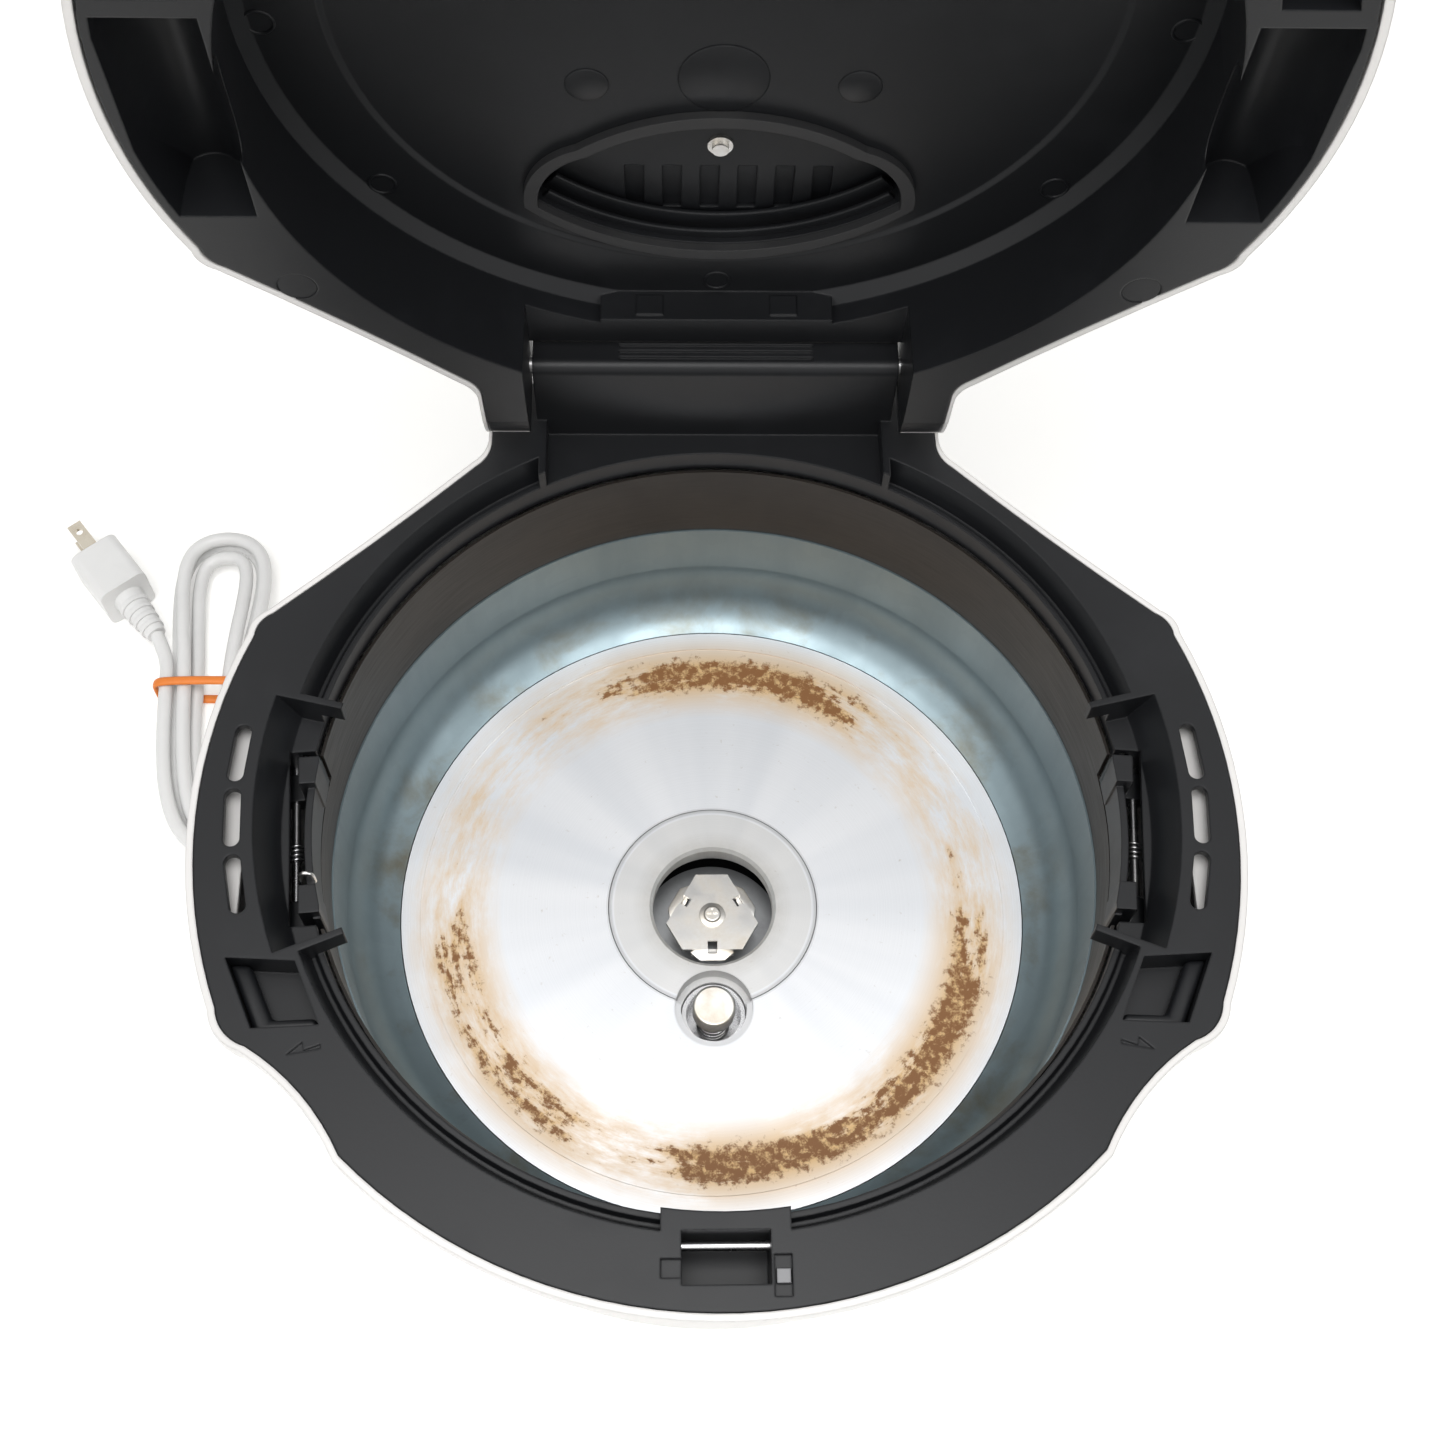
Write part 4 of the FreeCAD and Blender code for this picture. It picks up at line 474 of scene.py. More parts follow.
def smoked_window(look):
    """Smoked display window with faint wipe marks."""
    smoke, wiped = (0.05, 0.055, 0.06, 1), (0.07, 0.075, 0.08, 1)
    material, tree, shader = new_finish("smoked window")
    mask = placed(tree, "handling smears", Scale=40.0, From=0.45, To=0.75)["Mask"]
    tree.links.new(ranged(tree, mask, 0.0, 1.0, 0.06, 0.16), shader.inputs["Roughness"])
    tree.links.new(blended(tree, mask, smoke, wiped), shader.inputs["Base Color"])
    shader.inputs["Transmission Weight"].default_value = 0.5
    return material


def key_plastic(look):
    return moulding("key plastic", (0.66, 0.66, 0.67, 1), (0.72, 0.72, 0.72, 1), (0.35, 0.45), grain=2400.0)


def cord_jacket(look):
    return moulding("white cord jacket", look.cord, shade(look.cord, 0.9), (0.38, 0.5), grain=1500.0,
                    depth=0.00005, strength=0.2)


def tie_orange(look):
    return moulding("orange tie", look.tie, shade(look.tie, 0.8), (0.45, 0.6), grain=2200.0, depth=0.00006)


FINISHES = {
    "white_shell": white_shell, "black_frame": black_frame, "lever_plastic": lever_black,
    "galvanised": galvanised_sheet, "collar": dark_collar, "plate_metal": heating_plate, "nickel": nickel,
    "steel": drawn_steel, "bronze": sintered_bronze, "motor_case": zinc_case, "board": board_lacquer,
    "feet_rubber": rubber_black, "grey_plastic": grey_pin, "panel": panel_black, "window": smoked_window,
    "key_plastic": key_plastic, "cord_white": cord_jacket, "tie_orange": tie_orange,
    "blade_metal": plated_blade,
}
made_finishes = {}


def finish_of(slot):
    """The material of a slot, made at its first use."""
    if slot not in made_finishes:
        made_finishes[slot] = FINISHES[slot](bpy.context.scene.cooker_look)
    return made_finishes[slot]


# Modelling helpers.

def only(piece):
    """Leaves one object selected and active."""
    bpy.ops.object.select_all(action="DESELECT")
    piece.select_set(True)
    bpy.context.view_layer.objects.active = piece


def swung_open(piece):
    """Swings a piece of the closed lid to its open place and applies that."""
    hinge = mm((0.0, HINGE_Y, HINGE_Z))
    turn = Matrix.Rotation(math.radians(-OPEN_DEG), 4, "X")
    piece.matrix_world = Matrix.Translation(hinge) @ turn @ Matrix.Translation(-hinge) @ piece.matrix_world
    only(piece)
    bpy.ops.object.transform_apply()
    return piece


def dressed(piece, slot, body):
    """Gives a finished piece its slot's material and the body that it moves with."""
    piece.data.materials.clear()
    piece.data.materials.append(finish_of(slot))
    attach(piece, body)
    return piece


def spline_piece(name, points, radius, sides=3, closed=False):
    """Round cord or wire on one smooth spline through control points in millimetres."""
    curve = bpy.data.curves.new(name, "CURVE")
    curve.dimensions = "3D"
    curve.bevel_depth = radius * MM
    curve.bevel_resolution = sides
    curve.resolution_u = 6
    curve.use_fill_caps = not closed
    spline = curve.splines.new("NURBS")
    spline.points.add(len(points) - 1)
    for spot, point in zip(spline.points, points):
        spot.co = (*mm(point), 1.0)
    spline.order_u = 3
    spline.use_endpoint_u = not closed
    spline.use_cyclic_u = closed
    piece = bpy.data.objects.new(name, curve)
    bpy.context.scene.collection.objects.link(piece)
    return piece


def made_mesh(piece):
    """Turns a curve into a smooth mesh."""
    only(piece)
    bpy.ops.object.convert(target="MESH")
    bpy.ops.object.shade_smooth()
    return bpy.context.object


def prism_piece(name, plan, foot, height, edge):
    """Upright moulding on a plan in millimetres, with rounded edges."""
    bpy.ops.object.select_all(action="DESELECT")
    bpy.ops.mesh.primitive_circle_add(vertices=len(plan), fill_type="NGON")
    piece = bpy.context.object
    piece.name = name
    for corner, (x, y) in zip(piece.data.vertices, plan):
        corner.co = mm((x, y, foot))
    bpy.ops.object.mode_set(mode="EDIT")
    bpy.ops.mesh.select_all(action="SELECT")
    bpy.ops.mesh.extrude_region_move(TRANSFORM_OT_translate={"value": mm((0.0, 0.0, height))})
    bpy.ops.mesh.select_all(action="SELECT")
    bpy.ops.mesh.bevel(offset=edge * MM, segments=3)
    bpy.ops.mesh.normals_make_consistent(inside=False)
    bpy.ops.object.mode_set(mode="OBJECT")
    bpy.ops.object.shade_smooth_by_angle()
    return piece


def ring_piece(name, place, radius, bead, flat):
    """Ring of a flattened bead that lies level round a point in millimetres."""
    bpy.ops.object.select_all(action="DESELECT")
    bpy.ops.mesh.primitive_torus_add(major_radius=radius * MM, minor_radius=bead * MM, major_segments=48,
                                     minor_segments=10, location=mm(place))
    piece = bpy.context.object
    piece.name = name
    bpy.ops.object.mode_set(mode="EDIT")
    bpy.ops.mesh.select_all(action="SELECT")
    bpy.ops.transform.resize(value=(1.0, 1.0, flat), center_override=mm(place))
    bpy.ops.object.mode_set(mode="OBJECT")
    bpy.ops.object.shade_smooth()
    return piece


def ring_plan(radius, corners):
    """Corners of a round plan in millimetres."""
    angles = [math.radians(360.0 / corners * step) for step in range(corners)]
    return [(radius * math.cos(angle), radius * math.sin(angle)) for angle in angles]


def hank_point(turn, turns):
    """Point of the hank: loops that spiral in, climb a layer and spiral out, drawn in at the waist."""
    middle = turns / 2
    spiral = abs(turn - middle)
    swing = math.sin(2 * math.pi * turn)
    waist = WAIST_SHARE * (HANK_WIDTH + HANK_WIDTH_STEP * spiral)
    fold = HANK_FOLD + HANK_FOLD_STEP * spiral
    cap = FOLD_CAP * fold
    length = HANK_LENGTH + HANK_LENGTH_STEP * spiral
    across = math.cos(2 * math.pi * turn) * (waist + (fold - waist) * abs(swing) ** WAIST_CURVE)
    along = -cap * swing - (length - cap) * swing * (1.5 - 0.5 * swing ** 2)
    climb = min(1.0, max(0.0, (turn - middle + CLIMB_TURNS / 2) / CLIMB_TURNS))
    rise = LAYER_RISE * (3 * climb ** 2 - 2 * climb ** 3)
    lean = LEAN * (math.sqrt(along ** 2 + LEAN_FROM ** 2) - LEAN_FROM) if along < 0 else 0.0
    return (HANK_PLACE[0] + across + lean, HANK_PLACE[1] + along, HANK_PLACE[2] + rise)


class CookerLook(bpy.types.PropertyGroup):
    white: bpy.props.FloatVectorProperty(name="White shell", description="Colour of housing and lid",
                                         subtype="COLOR", size=4, default=(0.76, 0.745, 0.73, 1.0))
    black: bpy.props.FloatVectorProperty(name="Black mouldings", description="Colour of frame and liner",
                                         subtype="COLOR", size=4, default=(0.0075, 0.008, 0.0093, 1.0))
    chamber: bpy.props.FloatVectorProperty(name="Chamber", description="Colour of the galvanised wall",
                                           subtype="COLOR", size=4, default=(0.24, 0.305, 0.33, 1.0))
    collar: bpy.props.FloatVectorProperty(name="Collar", description="Colour of the dark band",
                                          subtype="COLOR", size=4, default=(0.013, 0.0105, 0.0085, 1.0))
    plate: bpy.props.FloatVectorProperty(name="Heating plate", description="Colour of the bare plate",
                                         subtype="COLOR", size=4, default=(0.91, 0.918, 0.94, 1.0))
    scorch: bpy.props.FloatVectorProperty(name="Scorch", description="Colour of the burnt haze",
                                          subtype="COLOR", size=4, default=(0.70, 0.42, 0.12, 1.0))
    crust: bpy.props.FloatVectorProperty(name="Crust", description="Colour of the burnt crust",
                                         subtype="COLOR", size=4, default=(0.26, 0.11, 0.032, 1.0))
    cord: bpy.props.FloatVectorProperty(name="Lead", description="Colour of lead and plug",
                                        subtype="COLOR", size=4, default=(0.74, 0.74, 0.735, 1.0))
    tie: bpy.props.FloatVectorProperty(name="Tie", description="Colour of the lead's tie",
                                       subtype="COLOR", size=4, default=(0.80, 0.22, 0.03, 1.0))


class CookerLead(bpy.types.PropertyGroup):
    diameter: bpy.props.FloatProperty(name="Diameter", description="Thickness of the lead", unit="LENGTH",
                                      default=0.006)
    length: bpy.props.FloatProperty(name="Length", description="Length of the lead from gland to plug",
                                    unit="LENGTH", default=1.24)
    turns: bpy.props.FloatProperty(name="Turns", description="Turns in the hank", default=3.5)
    points_per_turn: bpy.props.IntProperty(name="Points", description="Control points in a turn",
                                           default=20)


class CookerStage(bpy.types.PropertyGroup):
    place: bpy.props.FloatVectorProperty(name="Camera place", description="Where the camera stands",
                                         subtype="TRANSLATION", unit="LENGTH",
                                         default=(-0.01679, -0.24959, 0.74311))
    pitch: bpy.props.FloatProperty(name="Pitch", description="How far the camera looks down",
                                   unit="ROTATION", default=math.radians(63.99))
    yaw: bpy.props.FloatProperty(name="Yaw", description="How far the camera looks to the right",
                                 unit="ROTATION", default=math.radians(3.78))
    roll: bpy.props.FloatProperty(name="Roll", description="Tilt of the picture", unit="ROTATION",
                                  default=math.radians(3.31))
    lens: bpy.props.FloatProperty(name="Lens", description="Focal length in millimetres", default=47.61)
    floor: bpy.props.FloatVectorProperty(name="Floor", description="Colour of the floor",
                                         subtype="COLOR", size=4, default=(0.93, 0.925, 0.91, 1.0))


class COOKER_OT_stage(bpy.types.Operator):
    """Camera, floor, lamps and world"""
    bl_idname = "cooker.stage"
    bl_label = "Stage"

    def execute(self, context):
        self.set_camera(context.scene, context.scene.cooker_stage)
        self.lay_floor(context.scene.cooker_stage)
        for lamp in LAMPS:
            self.hang_lamp(*lamp)
        self.light_world(context.scene)
        context.scene.view_settings.view_transform = "Standard"
        return {"FINISHED"}

    def set_camera(self, scene, stage):
        flat = math.cos(stage.pitch)
        forward = Vector((math.sin(stage.yaw) * flat, math.cos(stage.yaw) * flat, -math.sin(stage.pitch)))
        right = Vector((math.cos(stage.yaw), -math.sin(stage.yaw), 0.0))
        up = right.cross(forward)
        side = right * math.cos(stage.roll) + up * math.sin(stage.roll)
        top = up * math.cos(stage.roll) - right * math.sin(stage.roll)
        bpy.ops.object.camera_add()
        camera = bpy.context.object
        turn = Matrix((side, top, -forward)).transposed().to_4x4()
        camera.matrix_world = Matrix.Translation(stage.place) @ turn
        camera.data.sensor_width = 36.0
        camera.data.lens = stage.lens
        camera.data.clip_start = 0.01
        scene.camera = camera

    def lay_floor(self, stage):
        bpy.ops.object.select_all(action="DESELECT")
        bpy.ops.mesh.primitive_plane_add(size=FLOOR_SIZE)
        floor = bpy.context.object
        floor.name = "floor"
        material, tree, shader = new_finish("pale floor")
        mask = placed(tree, "handling smears", Scale=3.0, From=0.3, To=0.8)["Mask"]
        colour = blended(tree, mask, stage.floor, shade(stage.floor, 0.98))
        tree.links.new(colour, shader.inputs["Base Color"])
        shader.inputs["Roughness"].default_value = 0.8
        shader.inputs["Emission Color"].default_value = (1.0, 0.995, 0.985, 1.0)
        shader.inputs["Emission Strength"].default_value = FLOOR_GLOW
        floor.data.materials.append(material)

    def hang_lamp(self, name, place, power, target):
        bpy.ops.object.light_add(type="AREA", location=place)
        lamp = bpy.context.object
        lamp.name = name
        lamp.data.shape = "DISK"
        lamp.data.size = LAMP_SIZE
        lamp.data.energy = power
        aim = Vector(target) - Vector(place)
        lamp.rotation_euler = aim.to_track_quat("-Z", "Y").to_euler()

    def light_world(self, scene):
        scene.world = scene.world or bpy.data.worlds.new("studio")
        scene.world.use_nodes = True
        tree = scene.world.node_tree
        tree.nodes.clear()
        warm = {"Color": (1.0, 0.995, 0.98, 1.0), "Strength": WORLD_LIGHT}
        light = add_node(tree, "ShaderNodeBackground", warm)
        white = {"Color": (1.0, 1.0, 1.0, 1.0), "Strength": 1.0}
        seen = add_node(tree, "ShaderNodeBackground", white)
        rays = add_node(tree, "ShaderNodeLightPath").outputs
        shown = maths(tree, "MAXIMUM", rays["Is Camera Ray"], rays["Is Glossy Ray"])
        shown = maths(tree, "MAXIMUM", shown, rays["Is Transmission Ray"])
        both = add_node(tree, "ShaderNodeMixShader", {0: shown, 1: light.outputs[0], 2: seen.outputs[0]})
        add_node(tree, "ShaderNodeOutputWorld", {"Surface": both.outputs[0]})


class COOKER_OT_finishes(bpy.types.Operator):
    """Gives every carried-over solid the finish of its slot"""
    bl_idname = "cooker.finishes"
    bl_label = "Finishes"

    def execute(self, context):
        for part in frame["record"]["subparts"]:
            solid = NODES[part["node"]]
            solid.data.materials.clear()
            solid.data.materials.append(finish_of(part["material_slot"]))
        return {"FINISHED"}


class COOKER_OT_lead(bpy.types.Operator):
    """Mains lead from the gland through its hank to the plug"""
    bl_idname = "cooker.lead"
    bl_label = "Mains lead"

    def execute(self, context):
        lead = context.scene.cooker_lead
        steps = round((lead.turns - HANK_START_TURN) * lead.points_per_turn)
        spread = (lead.turns - HANK_START_TURN) / steps
        hank = [hank_point(HANK_START_TURN + spread * step, lead.turns) for step in range(steps + 1)]
        cord = spline_piece("mains_lead", LEAD_ROUTE + hank + PLUG_ROUTE, lead.diameter / 2 / MM, 5)
        dressed(cord, "cord_white", "base")
        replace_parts(cord, "cord_lead", "cord_hank", "plug_lead")
        mm(LEAD_ROUTE[0])
        return {"FINISHED"}


# Loop of the tie: in halves of its box across and upright, and in millimetres along the hank.
TIE_LOOP = ((-0.97, 0.0, 0.0), (-0.97, 0.2, 0.8), (-0.6, 0.3, 0.92), (0.0, 0.4, 0.92), (0.6, 0.3, 0.92),
            (0.97, 0.0, 0.8), (0.97, -0.2, 0.0), (0.97, -0.2, -0.85), (0.6, -0.3, -0.88),
            (0.0, -0.3, -0.88), (-0.6, -0.2, -0.88), (-0.97, 0.0, -0.85))
TIE_R = 0.9
TIE_WIDENING = 2.2


class COOKER_OT_tie(bpy.types.Operator):
    """Orange twist tie round the waist of the hank"""
    bl_idname = "cooker.tie"
    bl_label = "Lead tie"

    def execute(self, context):
        low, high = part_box("cord_tie")
        middle = (low + high) / 2 / MM
        half = (high - low) / 2 / MM
        loop = [(middle.x + half.x * x, middle.y + y, middle.z + half.z * z) for x, y, z in TIE_LOOP]
        band = self.flattened(made_mesh(spline_piece("tie_band", loop, TIE_R, 3, closed=True)), middle.y)
        dressed(band, "tie_orange", "base")
        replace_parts(band, "cord_tie")
        return {"FINISHED"}

    def flattened(self, band, middle):
        """Widens the round loop into a flat strip."""
        only(band)
        bpy.ops.object.mode_set(mode="EDIT")
        bpy.ops.mesh.select_all(action="SELECT")
        bpy.ops.transform.resize(value=(1.0, TIE_WIDENING, 1.0), center_override=mm((0.0, middle, 0.0)))
        bpy.ops.object.mode_set(mode="OBJECT")
        return band


# Wound springs, in millimetres.
COIL_POINTS = 16
COIL_PITCH = 1.6
COIL_WIRE = 1.0
SENSOR_COIL_R = 5.6
SENSOR_COIL_FOOT = 51.45
SENSOR_COIL_HEAD = 69.05
SENSOR_COIL_TURNS = 5
SENSOR_COIL_WIRE = 1.3
LEVER_COIL_R = 2.6
LEVER_COIL_TURNS = 4
HINGE_COIL_R = 3.8
HINGE_COIL_X = 32.0
HINGE_COIL_TURNS = 10


class COOKER_OT_springs(bpy.types.Operator):
    """Wound springs of sensor, levers and hinge"""
    bl_idname = "cooker.springs"
    bl_label = "Springs"

    def execute(self, context):
        self.sensor_spring()
        for name, side in SIDES:
            self.lever_spring(name, side)
            self.hinge_spring(name, side)
        return {"FINISHED"}

    def coil(self, name, place, turns, wire=COIL_WIRE):
        count = turns * COIL_POINTS
        points = [place(turns * step / count) for step in range(count + 1)]
        piece = made_mesh(spline_piece(name, points, wire / 2, 2))
        return dressed(piece, "steel", "base")

    def sensor_spring(self):
        def place(turn):
            angle = 2 * math.pi * turn
            rise = (SENSOR_COIL_HEAD - SENSOR_COIL_FOOT) * turn / SENSOR_COIL_TURNS
            return (SENSOR_COIL_R * math.cos(angle), SENSOR_Y + SENSOR_COIL_R * math.sin(angle),
                    SENSOR_COIL_FOOT + rise)

        coil = self.coil("sensor_coil", place, SENSOR_COIL_TURNS, SENSOR_COIL_WIRE)
        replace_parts(coil, "sensor_spring")
        mm((0.0, SENSOR_Y, 50.5))
        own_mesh(coil)

    def lever_spring(self, name, side):
        turn_by = math.radians(LEVER_DEG)

        def place(turn):
            angle = 2 * math.pi * turn
            x = LEVER_PIN_X + LEVER_COIL_R * math.cos(angle)
            y = (turn - LEVER_COIL_TURNS / 2) * COIL_PITCH
            return (side * (x * math.cos(turn_by) - y * math.sin(turn_by)),
                    x * math.sin(turn_by) + y * math.cos(turn_by),
                    LEVER_PIN_Z + LEVER_COIL_R * math.sin(angle))

        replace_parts(self.coil(name + "_lever_coil", place, LEVER_COIL_TURNS), name + "_lever_spring")

    def hinge_spring(self, name, side):
        def place(turn):
            angle = 2 * math.pi * turn
            return (side * (HINGE_COIL_X + turn * COIL_PITCH), HINGE_Y + HINGE_COIL_R * math.cos(angle),
                    HINGE_Z + HINGE_COIL_R * math.sin(angle))

        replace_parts(self.coil(name + "_hinge_coil", place, HINGE_COIL_TURNS), name + "_hinge_spring")


# Marks inside the lid: gate marks with their radius, and ring bosses on the liner's plugs.
GATE_MARKS = ((-40.0, 32.0, 6.5), (40.0, 32.0, 6.5), (0.0, 29.0, 13.5))
GATE_MARK_DEPTH = 0.6
GATE_MARK_STEP = 0.12
RING_BOSSES = ((-105.0, 75.0), (105.0, 75.0), (-130.0, 7.0), (130.0, 7.0), (0.0, 123.0))
RING_BOSS_R = 4.2
RING_BOSS_BEAD = 0.5
RING_BOSS_FLAT = 0.8


class COOKER_OT_liner_marks(bpy.types.Operator):
    """Ring bosses and gate marks moulded on the inside of the lid"""
    bl_idname = "cooker.liner_marks"
    bl_label = "Liner marks"

    def execute(self, context):
        for number, (x, y, radius) in enumerate(GATE_MARKS, 1):
            mark = self.disc("gate_mark_%d" % number, (x, y, CEILING_Z), radius)
            dressed(swung_open(mark), "black_frame", "lid")
        for number, (x, y) in enumerate(RING_BOSSES, 1):
            ring = ring_piece("ring_boss_%d" % number, (x, y, PLUG_FACE_Z), RING_BOSS_R, RING_BOSS_BEAD,
                              RING_BOSS_FLAT)
            dressed(swung_open(ring), "black_frame", "lid")
        return {"FINISHED"}

    def disc(self, name, place, radius):
        """Low disc with a fine step at its rim."""
        bpy.ops.object.select_all(action="DESELECT")
        bpy.ops.mesh.primitive_cylinder_add(vertices=64, radius=radius * MM, depth=GATE_MARK_DEPTH * MM,
                                            location=mm(place))
        piece = bpy.context.object
        piece.name = name
        bpy.ops.object.mode_set(mode="EDIT")
        bpy.ops.mesh.select_all(action="SELECT")
        bpy.ops.mesh.bevel(offset=GATE_MARK_STEP * MM, segments=2)
        bpy.ops.object.mode_set(mode="OBJECT")
        bpy.ops.object.shade_smooth_by_angle()
        return piece


# The hooked wire stands in one plane across the lever: x and z of its points.
LEVER_WIRE = ((-134.4, 165.0), (-134.4, 168.6), (-133.6, 170.6), (-132.0, 171.2), (-130.6, 170.2),
              (-130.2, 167.6), (-130.3, 164.2))
LEVER_WIRE_Y = -24.3
LEVER_WIRE_R = 0.75


class COOKER_OT_lever_wire(bpy.types.Operator):
    """Hooked end of the left lever spring's wire, over the lever's plate"""
    bl_idname = "cooker.lever_wire"
    bl_label = "Lever wire"

    def execute(self, context):
        route = [(x, LEVER_WIRE_Y, z) for x, z in LEVER_WIRE]
        wire = made_mesh(spline_piece("lever_wire_hook", route, LEVER_WIRE_R, 3))
        dressed(wire, "nickel", "left_lever")
        return {"FINISHED"}


# Ledges of the vent: height over the lid's foot, and width. Their arc runs to half its angle each side.
VENT_LEDGES = ((43.4, 3.2), (47.4, 6.8))
VENT_LEDGE_THICK = 1.6
VENT_LEDGE_EDGE = 0.3
VENT_LEDGE_SUNK = 0.4
VENT_HALF_DEG = 39.5
VENT_STEPS = 16


class COOKER_OT_vent_ledges(bpy.types.Operator):
    """Two curved ledges inside the steam vent"""
    bl_idname = "cooker.vent_ledges"
    bl_label = "Vent ledges"

    def execute(self, context):
        half = math.radians(VENT_HALF_DEG)
        angles = [half * (step / VENT_STEPS - 1.0) for step in range(2 * VENT_STEPS + 1)]
        for number, (height, width) in enumerate(VENT_LEDGES, 1):
            back = self.arc(angles, VENT_ARC_R + VENT_LEDGE_SUNK)
            front = self.arc(reversed(angles), VENT_ARC_R - width)
            ledge = prism_piece("vent_ledge_%d" % number, back + front, LID_Z + height, VENT_LEDGE_THICK,
                                VENT_LEDGE_EDGE)
            dressed(swung_open(ledge), "black_frame", "lid")
        return {"FINISHED"}

    def arc(self, angles, radius):
        return [(radius * math.sin(angle), VENT_ARC_Y + radius * math.cos(angle)) for angle in angles]


# Ledge of the right grip pocket.
POCKET_LEDGE = ((152.0, -56.5), (142.4, -78.2), (122.6, -77.2), (124.2, -73.6), (137.6, -74.2),
                (145.6, -56.6))
POCKET_LEDGE_FOOT = RIM_Z - 12.1
POCKET_LEDGE_HEIGHT = 6.6
POCKET_LEDGE_EDGE = 1.6


class COOKER_OT_pocket_ledges(bpy.types.Operator):
    """Ledge along the outer and front sides of each grip pocket"""
    bl_idname = "cooker.pocket_ledges"
    bl_label = "Pocket ledges"

    def execute(self, context):
        for name, side in SIDES:
            plan = [(side * x, y) for x, y in POCKET_LEDGE]
            ledge = prism_piece(name + "_pocket_ledge", plan, POCKET_LEDGE_FOOT, POCKET_LEDGE_HEIGHT,
                                POCKET_LEDGE_EDGE)
            dressed(ledge, "black_frame", "base")
        return {"FINISHED"}


# Marks on the keys by number, as plans about the middle of a key. The third key has a ring.
HALF, LONG, THIN = 2.2, 2.8, 0.5
KEY_MARKS = {
    1: ((-HALF, -HALF), (HALF, -HALF), (HALF, HALF), (-HALF, HALF)),
    2: ((-1.8, -2.6), (2.7, 0.0), (-1.8, 2.6)),
    4: ((-LONG, -THIN), (LONG, -THIN), (LONG, THIN), (-LONG, THIN)),
    5: ((-LONG, -THIN), (-THIN, -THIN), (-THIN, -LONG), (THIN, -LONG), (THIN, -THIN), (LONG, -THIN),
        (LONG, THIN), (THIN, THIN), (THIN, LONG), (-THIN, LONG), (-THIN, THIN), (-LONG, THIN)),
}
KEY_MARK_FOOT = KEY_TOP - 0.05
KEY_MARK_HEIGHT = 0.3
KEY_MARK_EDGE = 0.06
KEY_RING_R = 2.4
KEY_RING_BEAD = 0.4
KEY_RING_FLAT = 0.6


class COOKER_OT_key_marks(bpy.types.Operator):
    """Plain marks on the panel keys: a square, a triangle, a ring, a minus and a plus"""
    bl_idname = "cooker.key_marks"
    bl_label = "Key marks"

    def execute(self, context):
        for number, plan in KEY_MARKS.items():
            plan = [(KEY_X[number - 1] + x, KEY_Y + y) for x, y in plan]
            mark = prism_piece("key_mark_%d" % number, plan, KEY_MARK_FOOT, KEY_MARK_HEIGHT, KEY_MARK_EDGE)
            dressed(swung_open(mark), "panel", "key_%d" % number)
        middle = (KEY_X[2], KEY_Y, KEY_TOP)
        ring = ring_piece("key_mark_3", middle, KEY_RING_R, KEY_RING_BEAD, KEY_RING_FLAT)
        dressed(swung_open(ring), "panel", "key_3")
        return {"FINISHED"}


# Folded sheet of the coupling: the front fin's plan, each fin's foot, and the screw's washer.
COUPLING_FIN = ((-8.6, -13.2), (-4.6, -16.6), (4.6, -16.6), (8.6, -13.2))
COUPLING_FINS = 3
FIN_FOOT = COUPLING_TOP - 4.6
FIN_THICK = 1.0
FIN_EDGE = 0.25
WASHER_R = 4.9
WASHER_CORNERS = 48
WASHER_FOOT = COUPLING_TOP - 0.05
WASHER_THICK = 0.6
WASHER_EDGE = 0.15


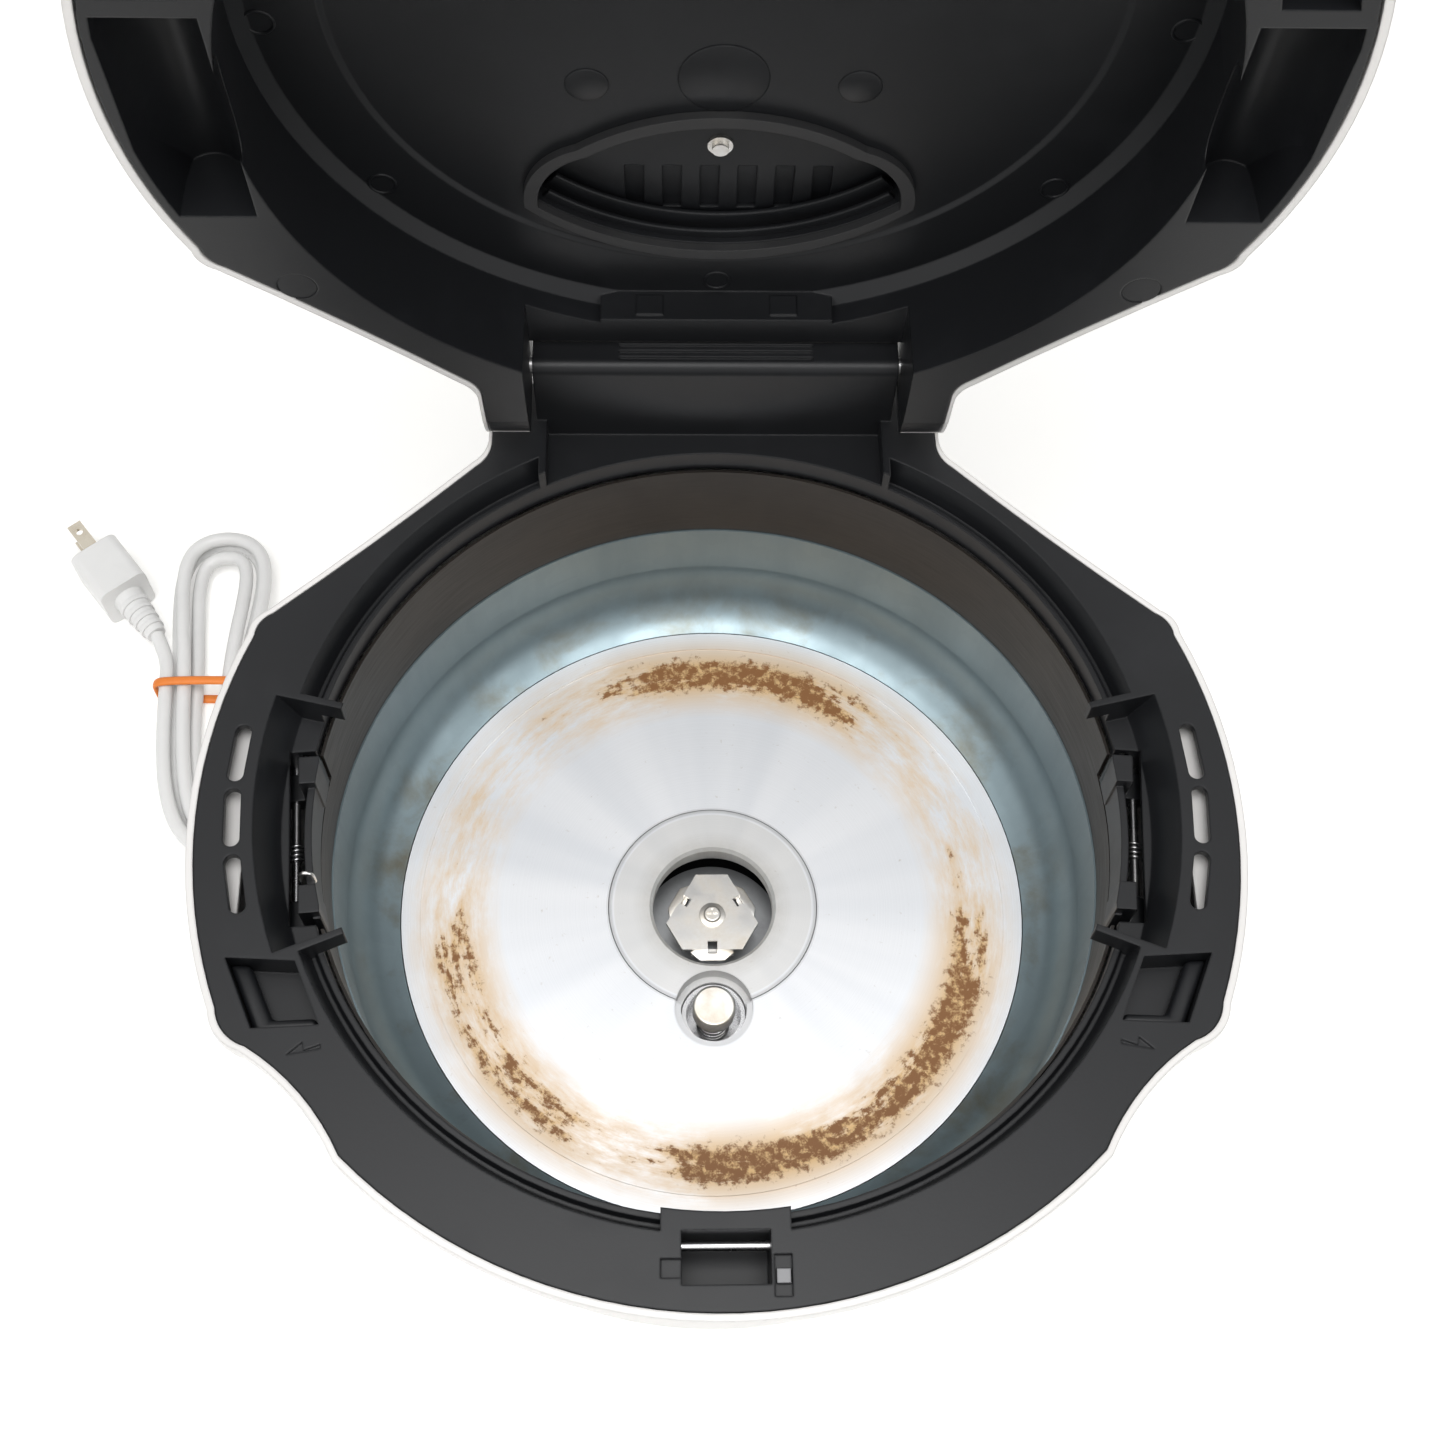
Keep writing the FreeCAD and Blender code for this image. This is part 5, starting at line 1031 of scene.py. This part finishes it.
class COOKER_OT_coupling_sheet(bpy.types.Operator):
    """Folded fins under the coupling's long sides, and the washer of its screw"""
    bl_idname = "cooker.coupling_sheet"
    bl_label = "Coupling sheet"

    def execute(self, context):
        for number in range(COUPLING_FINS):
            turn = Matrix.Rotation(math.radians(360.0 / COUPLING_FINS * number), 2)
            plan = [turn @ Vector(corner) for corner in COUPLING_FIN]
            fin = prism_piece("coupling_fin_%d" % (number + 1), plan, FIN_FOOT, FIN_THICK, FIN_EDGE)
            dressed(fin, "nickel", "drive")
        plan = ring_plan(WASHER_R, WASHER_CORNERS)
        washer = prism_piece("coupling_washer", plan, WASHER_FOOT, WASHER_THICK, WASHER_EDGE)
        dressed(washer, "nickel", "drive")
        return {"FINISHED"}


class COOKER_PT_pieces(bpy.types.Panel):
    """Lists the steps of the cooker's looks"""
    bl_idname = "COOKER_PT_pieces"
    bl_label = "Cooker"
    bl_space_type = "VIEW_3D"
    bl_region_type = "UI"
    bl_category = "Cooker"

    def draw(self, context):
        for operator in OPERATORS:
            self.layout.operator(operator.bl_idname)


OPERATORS = (COOKER_OT_stage, COOKER_OT_finishes, COOKER_OT_lead, COOKER_OT_tie, COOKER_OT_springs,
             COOKER_OT_liner_marks, COOKER_OT_lever_wire, COOKER_OT_vent_ledges,
             COOKER_OT_pocket_ledges, COOKER_OT_key_marks, COOKER_OT_coupling_sheet)
GROUPS = (("cooker_look", CookerLook), ("cooker_lead", CookerLead), ("cooker_stage", CookerStage))


def register():
    for name, group in GROUPS:
        bpy.utils.register_class(group)
        setattr(bpy.types.Scene, name, bpy.props.PointerProperty(type=group))
    for operator in OPERATORS:
        bpy.utils.register_class(operator)
    bpy.utils.register_class(COOKER_PT_pieces)


def unregister():
    bpy.utils.unregister_class(COOKER_PT_pieces)
    for operator in reversed(OPERATORS):
        bpy.utils.unregister_class(operator)
    for name, group in reversed(GROUPS):
        delattr(bpy.types.Scene, name)
        bpy.utils.unregister_class(group)


def main():
    register()
    bpy.ops.cooker.stage()
    bpy.ops.cooker.finishes()
    bpy.ops.cooker.lead()
    bpy.ops.cooker.tie()
    bpy.ops.cooker.springs()
    bpy.ops.cooker.liner_marks()
    bpy.ops.cooker.lever_wire()
    bpy.ops.cooker.vent_ledges()
    bpy.ops.cooker.pocket_ledges()
    bpy.ops.cooker.key_marks()
    bpy.ops.cooker.coupling_sheet()


if __name__ == "__main__":
    main()
